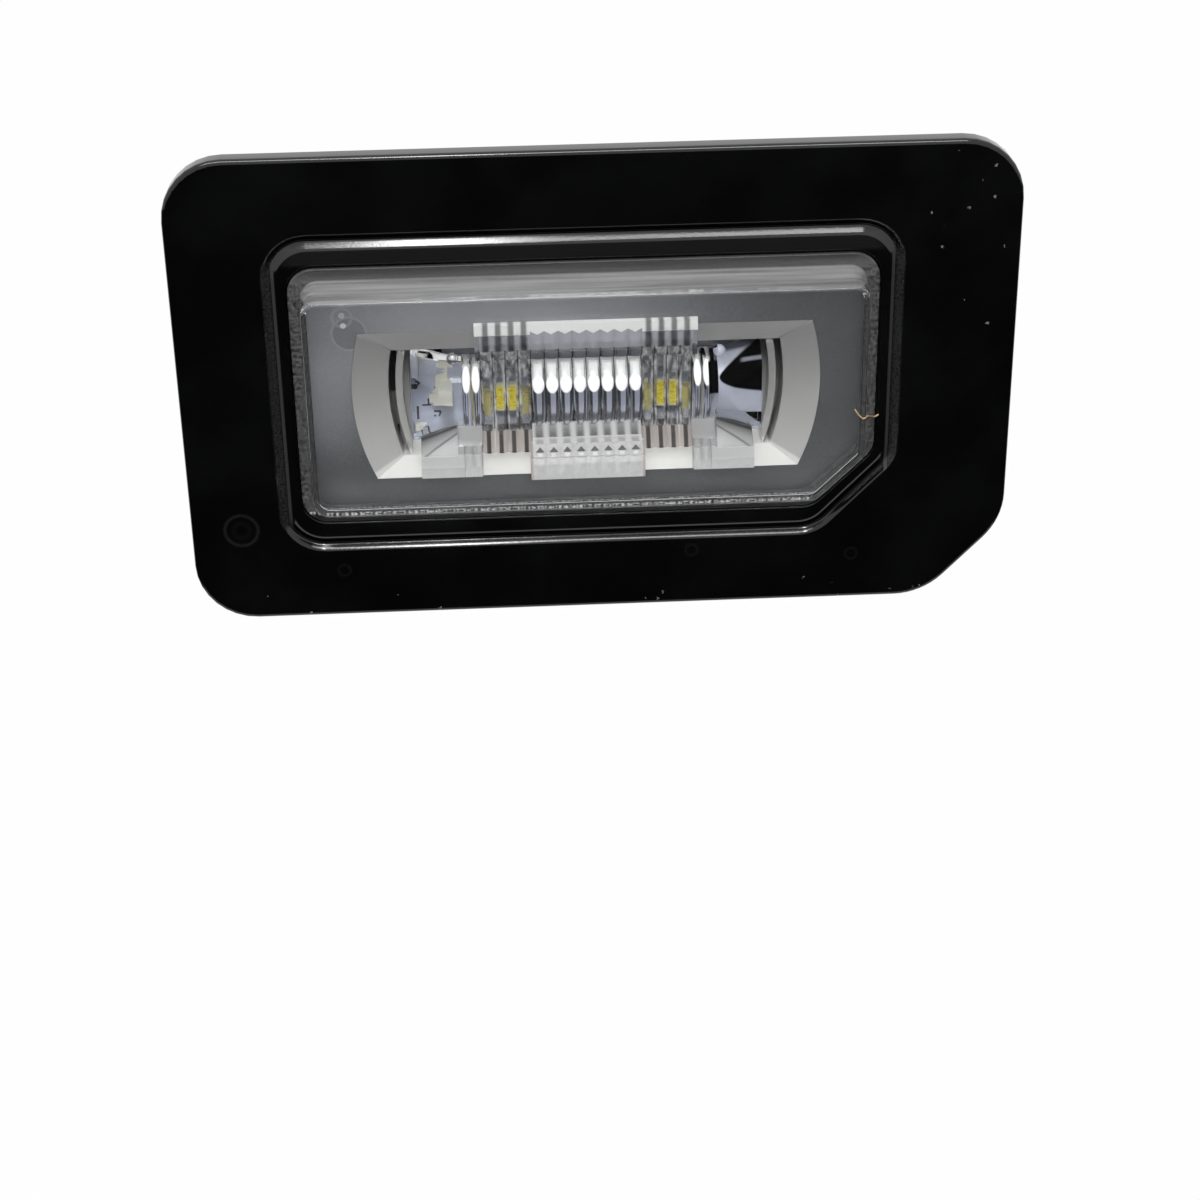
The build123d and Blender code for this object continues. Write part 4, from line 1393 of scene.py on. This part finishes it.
@dataclass
class OpticBar:
    """Clear light bar: fluted barrels, ridged bays in front of the LEDs, horn ends and frosted tabs.

    Its front and back are two height maps over one grid, about the bar's centre: u along X, v along Z.
    """

    rows: Rows = Rows()
    z: float = -1.65
    half_length: float = 17.2
    half_height: float = 5.3
    back: float = 2.9
    lift: float = 0.45
    axis: float = 1.9
    radius: float = 3.7
    front_cut: float = -1.8
    valley: float = 2.3
    valley_edge: float = 4.2
    lower_edge: float = 3.35
    mask_front: float = -0.8
    wall_end: float = 12.9
    bay_floor: float = 0.7
    bay_wall_top: float = -0.7
    flute: float = 0.3
    neck_radius: float = 3.45
    horn_radius: float = 4.8
    horn_flare: float = 1.6
    web_edge: float = 4.5
    web_back: float = -0.4
    web_run: float = 2.1
    tab_front: float = -1.6
    tab_edge: float = 6.4
    tab_outer: float = 8.45
    tab_fade: float = 1.2
    tab_groove: float = 0.8
    bottom_tab_outer: float = 8.05
    end_tab_outer: float = 7.5
    end_tab_inner: float = 10.5
    end_tab_line: float = 10.56
    end_tab_reach: float = 16.6
    top_tab: float = 10.9
    bottom_tab: float = 5.7
    step: float = 0.02
    pitch_u: float = 0.12
    pitch_v: float = 0.16
    barrel_steps: int = 14
    smooth_angle: float = 42.0
    knob_radius: float = 0.6
    knob_place: Spot = (13.1, -0.3, 4.65)

    def crown(self, offset: float, pitch: float) -> float:
        """Height of a round flute above its valley, at a distance along a row of flutes."""
        radius = (pitch**2 / 4 + self.flute**2) / (2 * self.flute)
        across = (offset % pitch) - pitch / 2
        return math.sqrt(max(radius**2 - across**2, 0.0)) - radius + self.flute

    def flutes(self, u: float) -> float:
        """Height of the flutes at u: centre row, bay row or outer row."""
        reach = abs(u)
        if reach < self.rows.centre:
            return self.crown(u + self.rows.centre, self.rows.centre_pitch)
        if reach < self.rows.bay_end:
            return self.crown(reach - self.rows.centre, self.rows.bay_pitch)
        if reach < self.rows.outer_end:
            return self.crown(reach - self.rows.bay_end, self.rows.outer_pitch)
        return 0.0

    def turned_radius(self, u: float) -> float:
        """Radius of the turned barrel or horn at u."""
        reach = abs(u)
        if reach < self.rows.outer_end:
            return self.radius - self.flute + self.flutes(u)
        run = (reach - self.rows.outer_end) / (self.half_length - self.rows.outer_end)
        return self.neck_radius + (self.horn_radius - self.neck_radius) * run**self.horn_flare

    def has_tab(self, u: float, v: float) -> bool:
        """True where a tab and its web reach out from the bar's side wall."""
        reach = abs(u)
        if abs(v) < self.web_edge or abs(v) > self.tab_outer:
            return False
        if v > 0:
            return reach < self.top_tab
        if reach < self.bottom_tab:
            return -v < self.bottom_tab_outer
        return self.end_tab_inner < reach < self.end_tab_reach and -v < self.end_tab_outer

    def inside(self, u: float, v: float) -> bool:
        """True where the bar or one of its tabs is."""
        return abs(v) < self.half_height or self.has_tab(u, v)

    def front(self, u: float, v: float) -> float:
        """Depth of the front surface."""
        reach, side = abs(u), abs(v)
        turned, level = self.turned_radius(u), abs(v - self.lift)
        barrel = self.axis - math.sqrt(max(turned**2 - level**2, 0.0))
        if reach > self.wall_end:
            face = max(barrel, self.front_cut)
            return self.tab_face(u, v, face) if side > self.half_height else face
        edge = self.valley_edge if v > 0 else self.lower_edge
        rise = min(max(side - edge, 0.0) / (self.half_height - edge), 1.0)
        if self.rows.centre < reach < self.rows.bay_end:
            depth = self.bay_floor + (self.bay_wall_top - self.bay_floor) * rise - self.flutes(u)
        else:
            depth = self.valley + (self.mask_front - self.valley) * rise
            if level < turned:
                depth = min(depth, max(barrel, self.front_cut))
        return self.tab_face(u, v, depth)

    def tab_face(self, u: float, v: float, depth: float) -> float:
        """Depth of a tab's front where there is one in front of a given depth."""
        if not self.has_tab(u, v):
            return depth
        side = abs(v)
        run = min((side - self.web_edge) / (self.tab_edge - self.web_edge), 1.0)
        fade = 1.0 - min(max(side - self.tab_edge, 0.0) / self.tab_fade, 1.0)
        web = self.mask_front + (self.tab_front - self.mask_front) * run
        grooved = (self.flute - self.flutes(u)) * fade * self.tab_groove
        return min(depth, web + grooved if abs(u) < self.rows.outer_end else web)

    def rear(self, u: float, v: float) -> float:
        """Depth of the back surface."""
        side = abs(v)
        if abs(u) > self.wall_end and side <= self.half_height:
            level = abs(v - self.lift)
            return min(self.back, self.axis + math.sqrt(max(self.turned_radius(u)**2 - level**2, 0.0)))
        if side <= self.half_height:
            return self.back
        run = min((side - self.half_height) / self.web_run, 1.0)
        return self.web_back + (self.mask_front - self.web_back) * run

    @staticmethod
    def spread(breaks: Sequence[float], step: float, pitch: float) -> list[float]:
        """Lines between break points, with a close pair at each break.

        Args:
            breaks: Sorted break points, the first and last being the ends.
            step: Half the distance between the two lines of a pair.
            pitch: Greatest distance between lines.

        Returns:
            The sorted places of the lines.
        """
        lines = [breaks[0]]
        for low, high in zip(breaks, breaks[1:]):
            count = max(1, round((high - low) / pitch))
            start, end = low + step, high - step
            lines += [start + (end - start) * i / count for i in range(count + 1)]
        return lines + [breaks[-1]]

    def lines(self) -> tuple[list[float], list[float]]:
        """Grid lines along u and v."""
        reach = [self.rows.centre, self.bottom_tab, self.rows.bay_end, self.end_tab_line, self.top_tab,
                 self.rows.outer_end, self.wall_end, self.end_tab_reach, self.half_length]
        along = self.spread([-r for r in reversed(reach)] + reach, self.step, self.pitch_u)
        half = self.barrel_steps
        turns = [math.radians(90) * i / half for i in range(-half, half + 1)]
        barrel = [self.lift + self.radius * math.sin(turn) for turn in turns]
        sides = [self.web_edge, self.half_height, self.tab_edge, self.end_tab_outer]
        below = [self.radius - self.lift, self.lower_edge, *sides, self.bottom_tab_outer, self.tab_outer]
        above = [self.radius + self.lift, self.valley_edge, *sides, self.tab_outer]
        lower, upper = (self.spread(breaks, self.step, self.pitch_v) for breaks in (below, above))
        return along, [-v for v in reversed(lower[1:])] + barrel + upper[1:]

    def warp(self, u: float, line: float) -> float:
        """Place of a grid line in v, so that lines follow the turned parts."""
        if abs(u) > self.wall_end:
            inner = abs(line) <= self.half_height
            return self.lift + line * self.turned_radius(u) / self.half_height if inner else line
        in_bay = self.rows.centre < abs(u) < self.rows.bay_end
        if not in_bay and abs(line - self.lift) <= self.radius + self.step / 10:
            return self.lift + (line - self.lift) * self.turned_radius(u) / self.radius
        return line

    def build(self) -> Piece:
        """Model the bar as a front and a back sheet joined round their edge.

        Returns:
            The finished piece.
        """
        along, across = self.lines()
        Bench.clear()
        bpy.ops.mesh.primitive_grid_add(x_subdivisions=len(along) - 1, y_subdivisions=len(across) - 1)
        piece = bpy.context.object
        piece.name = "optic_bar"
        columns = len(along)
        flat = [(along[i % columns], across[i // columns]) for i in range(len(piece.data.vertices))]
        for point, (u, line) in zip(piece.data.vertices, flat):
            point.co = Vector((u, line, 0.0)) * MM
        Bench.pick_faces(piece, lambda middle: not self.inside(middle.x, middle.y))
        bpy.ops.mesh.delete(type="FACE")
        bpy.ops.mesh.select_all(action="SELECT")
        bpy.ops.mesh.duplicate()
        bpy.ops.object.mode_set(mode="OBJECT")
        for point in piece.data.vertices:
            u, line = point.co.x / MM, point.co.y / MM
            v = self.warp(u, line)
            depth = self.rear(u, v) if point.select else self.front(u, v)
            point.co = Vector((u + self.rows.x, depth, v + self.z)) * MM
        Bench.take(piece)
        bpy.ops.object.mode_set(mode="EDIT")
        bpy.ops.mesh.select_mode(type="EDGE")
        bpy.ops.mesh.select_all(action="DESELECT")
        bpy.ops.mesh.select_non_manifold()
        bpy.ops.mesh.bridge_edge_loops()
        Bench.face_out()
        Bench.join(piece, [self.knob(side) for side in (-1, 1)])
        Bench.take(piece)
        bpy.ops.object.shade_smooth_by_angle(angle=math.radians(self.smooth_angle))
        return piece

    def knob(self, side: int) -> Piece:
        """Small round knob above a horn's neck, on the left (-1) or right (1)."""
        Bench.clear()
        bpy.ops.mesh.primitive_uv_sphere_add(segments=20, ring_count=12, radius=self.knob_radius * MM)
        knob = bpy.context.object
        u, depth, v = self.knob_place
        for point in knob.data.vertices:
            point.co += Vector((self.rows.x + side * u, depth, self.z + v)) * MM
        return knob


@dataclass
class Fibre:
    """Stray tan fibre that hangs over the dome's edge on to the rim."""

    path: tuple[Spot, ...] = (
        (24.85, -5.58, -1.7), (25.2, -5.58, -2.3), (25.66, -5.57, -2.75), (26.2, -5.3, -2.6),
        (26.6, -3.6, -3.35), (27.3, -2.55, -3.87), (27.73, -2.52, -3.65),
    )
    radius: float = 0.09
    sides: int = 6
    smooth_angle: float = 60.0

    def build(self) -> Piece:
        """Model the fibre as a thin bent rod.

        Returns:
            The finished piece.
        """
        rings = []
        spots = [Vector(place) for place in self.path]
        turns = [2 * math.pi * k / self.sides for k in range(self.sides)]
        for i, spot in enumerate(spots):
            along = (spots[min(i + 1, len(spots) - 1)] - spots[max(i - 1, 0)]).normalized()
            first = along.orthogonal() if not rings else first - along * first.dot(along)
            first = first.normalized()
            second = along.cross(first)
            rings.append([spot + (first * math.cos(t) + second * math.sin(t)) * self.radius for t in turns])
        piece = Bench.skin("fibre", rings)
        Bench.polish(piece, self.smooth_angle)
        return piece


@dataclass(frozen=True)
class Lamp:
    """Soft rectangular lamp that faces the object."""

    name: str
    place: Spot
    size: Pair
    watts: float

    def hang(self) -> None:
        """Add the lamp."""
        data = bpy.data.lights.new(self.name, "AREA")
        data.shape = "RECTANGLE"
        data.size, data.size_y = (length * MM for length in self.size)
        data.energy = self.watts
        item = bpy.data.objects.new(self.name, data)
        bpy.context.scene.collection.objects.link(item)
        item.location = Vector(self.place) * MM
        item.rotation_euler = (-Vector(self.place)).to_track_quat("-Z", "Y").to_euler()


@dataclass
class Studio:
    """Floor, dark card, lamps, surroundings and camera."""

    camera_place: Spot = (-9.937, -224.631, 90.392)
    camera_right: Spot = (0.99859, -0.05113, -0.01434)
    camera_down: Spot = (-0.03602, -0.45368, -0.89044)
    focal: float = 73.22
    sensor: float = 36.0
    nearest: float = 10.0
    floor_level: float = -200.0
    floor_size: float = 6000.0
    floor_white: float = 0.985
    card_path: tuple[Pair, ...] = ((-190, 40), (-190, -150), (190, -150), (190, 40))
    card_foot: float = -170.0
    card_height: float = 175.0
    daylight: float = 0.2
    lamps: tuple[Lamp, ...] = (
        Lamp("key", (-50.0, -270.0, 430.0), (420.0, 160.0), 2.0),
        Lamp("spark", (-26.0, -320.0, 350.0), (32.0, 64.0), 0.26),
    )

    def camera(self) -> None:
        """Stand the camera where the photograph was taken."""
        data = bpy.data.cameras.new("camera")
        data.lens = self.focal
        data.sensor_width = self.sensor
        data.clip_start = self.nearest * MM
        item = bpy.data.objects.new("camera", data)
        bpy.context.scene.collection.objects.link(item)
        right = Vector(self.camera_right).normalized()
        up = -Vector(self.camera_down).normalized()
        turn = Matrix((right, up, right.cross(up))).transposed().to_4x4()
        item.matrix_world = Matrix.Translation(Vector(self.camera_place) * MM) @ turn
        bpy.context.scene.camera = item

    @staticmethod
    def seen_white(s: Sketch) -> Value:
        """1 for the rays that should find a white background."""
        path = s.node("LightPath")
        kinds = ("Is Camera Ray", "Is Glossy Ray", "Is Transmission Ray")
        camera, glossy, through = (Value(s, path.outputs[kind]) for kind in kinds)
        return camera | glossy | through

    def pale(self, s: Sketch) -> Socket:
        """Draw the floor's shader: white to the eye, with a trace of shadow."""
        plain = s.paint(grey(0.85), 0.7)
        white = s.node("Emission", {"Color": grey(1.0), "Strength": 1.0}).outputs[0]
        return s.over(self.seen_white(s) * self.floor_white, plain, white)

    def floor(self) -> None:
        """Lay a plain pale floor."""
        half, level = self.floor_size / 2, self.floor_level
        signs = ((-1, -1), (1, -1), (1, 1), (-1, 1))
        sheet = Bench.sheet("floor", [Vector((half * x, half * y, level)) for x, y in signs])
        sheet.data.materials.append(drawn("pale_floor", self.pale))

    def card(self) -> None:
        """Stand a dark folded card in front and at both sides, below the lamps, that the gloss mirrors."""
        material = drawn("dark_card", lambda s: s.paint(grey(0.02), 0.9))
        rise = Vector((0, 0, self.card_height))
        for ends in zip(self.card_path, self.card_path[1:]):
            start, end = (Vector((*spot, self.card_foot)) for spot in ends)
            sheet = Bench.sheet("dark_card", [start, end, end + rise, start + rise])
            sheet.data.materials.append(material)
            sheet.visible_camera = False

    def surroundings(self) -> None:
        """Light the room evenly, and show white behind the object."""
        world = bpy.data.worlds.new("room")
        bpy.context.scene.world = world
        world.use_nodes = True
        s = Sketch(world.node_tree)
        strength = self.seen_white(s) * (1.0 - self.daylight) + self.daylight
        light = s.node("Background", {"Color": grey(1.0), "Strength": strength})
        s.node("OutputWorld", {"Surface": light.outputs[0]})

    def build(self) -> None:
        """Set up the whole studio."""
        bpy.context.scene.view_settings.view_transform = "Standard"
        self.camera()
        self.floor()
        self.card()
        self.surroundings()
        for lamp in self.lamps:
            lamp.hang()


CAD_FINISHES: dict[str, Finish] = {
    "lens_seal": BondBead(),
    "mask": MaskGrain(),
    "reflector": ReflectorSatin(),
    "circuit_board": BoardResist(),
    "led_left": LedFinish("led_package", (0.58, 0.56, 0.40, 1.0), (0.66, 0.64, 0.48, 1.0), grey(0.30)),
    "led_left_phosphor": LedFinish(
        "phosphor", low=(0.60, 0.48, 0.03, 1.0), high=(0.80, 0.68, 0.11, 1.0), ridge_shade=(0.26, 0.26, 0.24, 1.0)
    ),
    "diode": GrainedPlastic("black_epoxy", grey(0.002), grey(0.005), 0.3, 0.08, 0.006, gloss=0.1),
    "chip_capacitors": GrainedPlastic(
        "chip_ceramic", (0.48, 0.47, 0.41, 1.0), (0.60, 0.59, 0.53, 1.0), 0.4, 0.1, 0.006
    ),
    "terminal_left": BareMetal(
        "tinned_blade", (0.72, 0.71, 0.68, 1.0), (0.52, 0.50, 0.46, 1.0), 0.22, stretch=(1.0, 0.05, 1.0)
    ),
    "gasket": FoamRubber(),
    "spring_clip": BareMetal(
        "spring_steel", (0.58, 0.58, 0.60, 1.0), (0.36, 0.36, 0.38, 1.0), 0.24, stretch=(1.0, 1.0, 0.05)
    ),
    "vent_membrane": WovenPatch(),
}
SAME_FINISH = {
    "led_right": "led_left",
    "led_right_phosphor": "led_left_phosphor",
    "chip_resistors": "diode",
    "terminal_right": "terminal_left",
}


def dress_nodes() -> None:
    """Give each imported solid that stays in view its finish."""
    made = {node: finish.material() for node, finish in CAD_FINISHES.items()}
    for node, like in SAME_FINISH.items():
        made[node] = made[like]
    for node, material in made.items():
        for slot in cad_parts[node].material_slots:
            slot.material = material
        log.info("dressed %s in %s", node, material.name)


def seat(piece: Piece, material: bpy.types.Material, slot: str, *nodes: str) -> None:
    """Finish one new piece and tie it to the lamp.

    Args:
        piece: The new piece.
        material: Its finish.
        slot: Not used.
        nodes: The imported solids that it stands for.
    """
    piece.data.materials.clear()
    piece.data.materials.append(material)
    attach(piece, "root")
    if nodes:
        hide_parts(*nodes)
    log.info("%s: %d faces", piece.name, len(piece.data.polygons))


def main() -> None:
    """Build the lamp's looks in order."""
    logging.basicConfig(level=logging.INFO, format="%(message)s")
    dress_nodes()
    housing = Housing()
    seat(housing.build(), BlackMoulding().material(), "black_plastic", "housing")
    seat(Lens(housing.lens_outline()).build(), LensPlastic("clear_lens").material(), "clear_lens", "lens")
    optic = OpticPlastic("clear_optic", passes=0.99)
    seat(OpticBar().build(), optic.material(), "clear_optic", "optic_bar")
    tan = GrainedPlastic("tan_fibre", (0.42, 0.28, 0.14, 1.0), (0.62, 0.46, 0.28, 1.0), 0.6, 0.2, 0.01)
    seat(Fibre().build(), tan.material(), "tan_component")
    Studio().build()


if __name__ == "__main__":
    main()
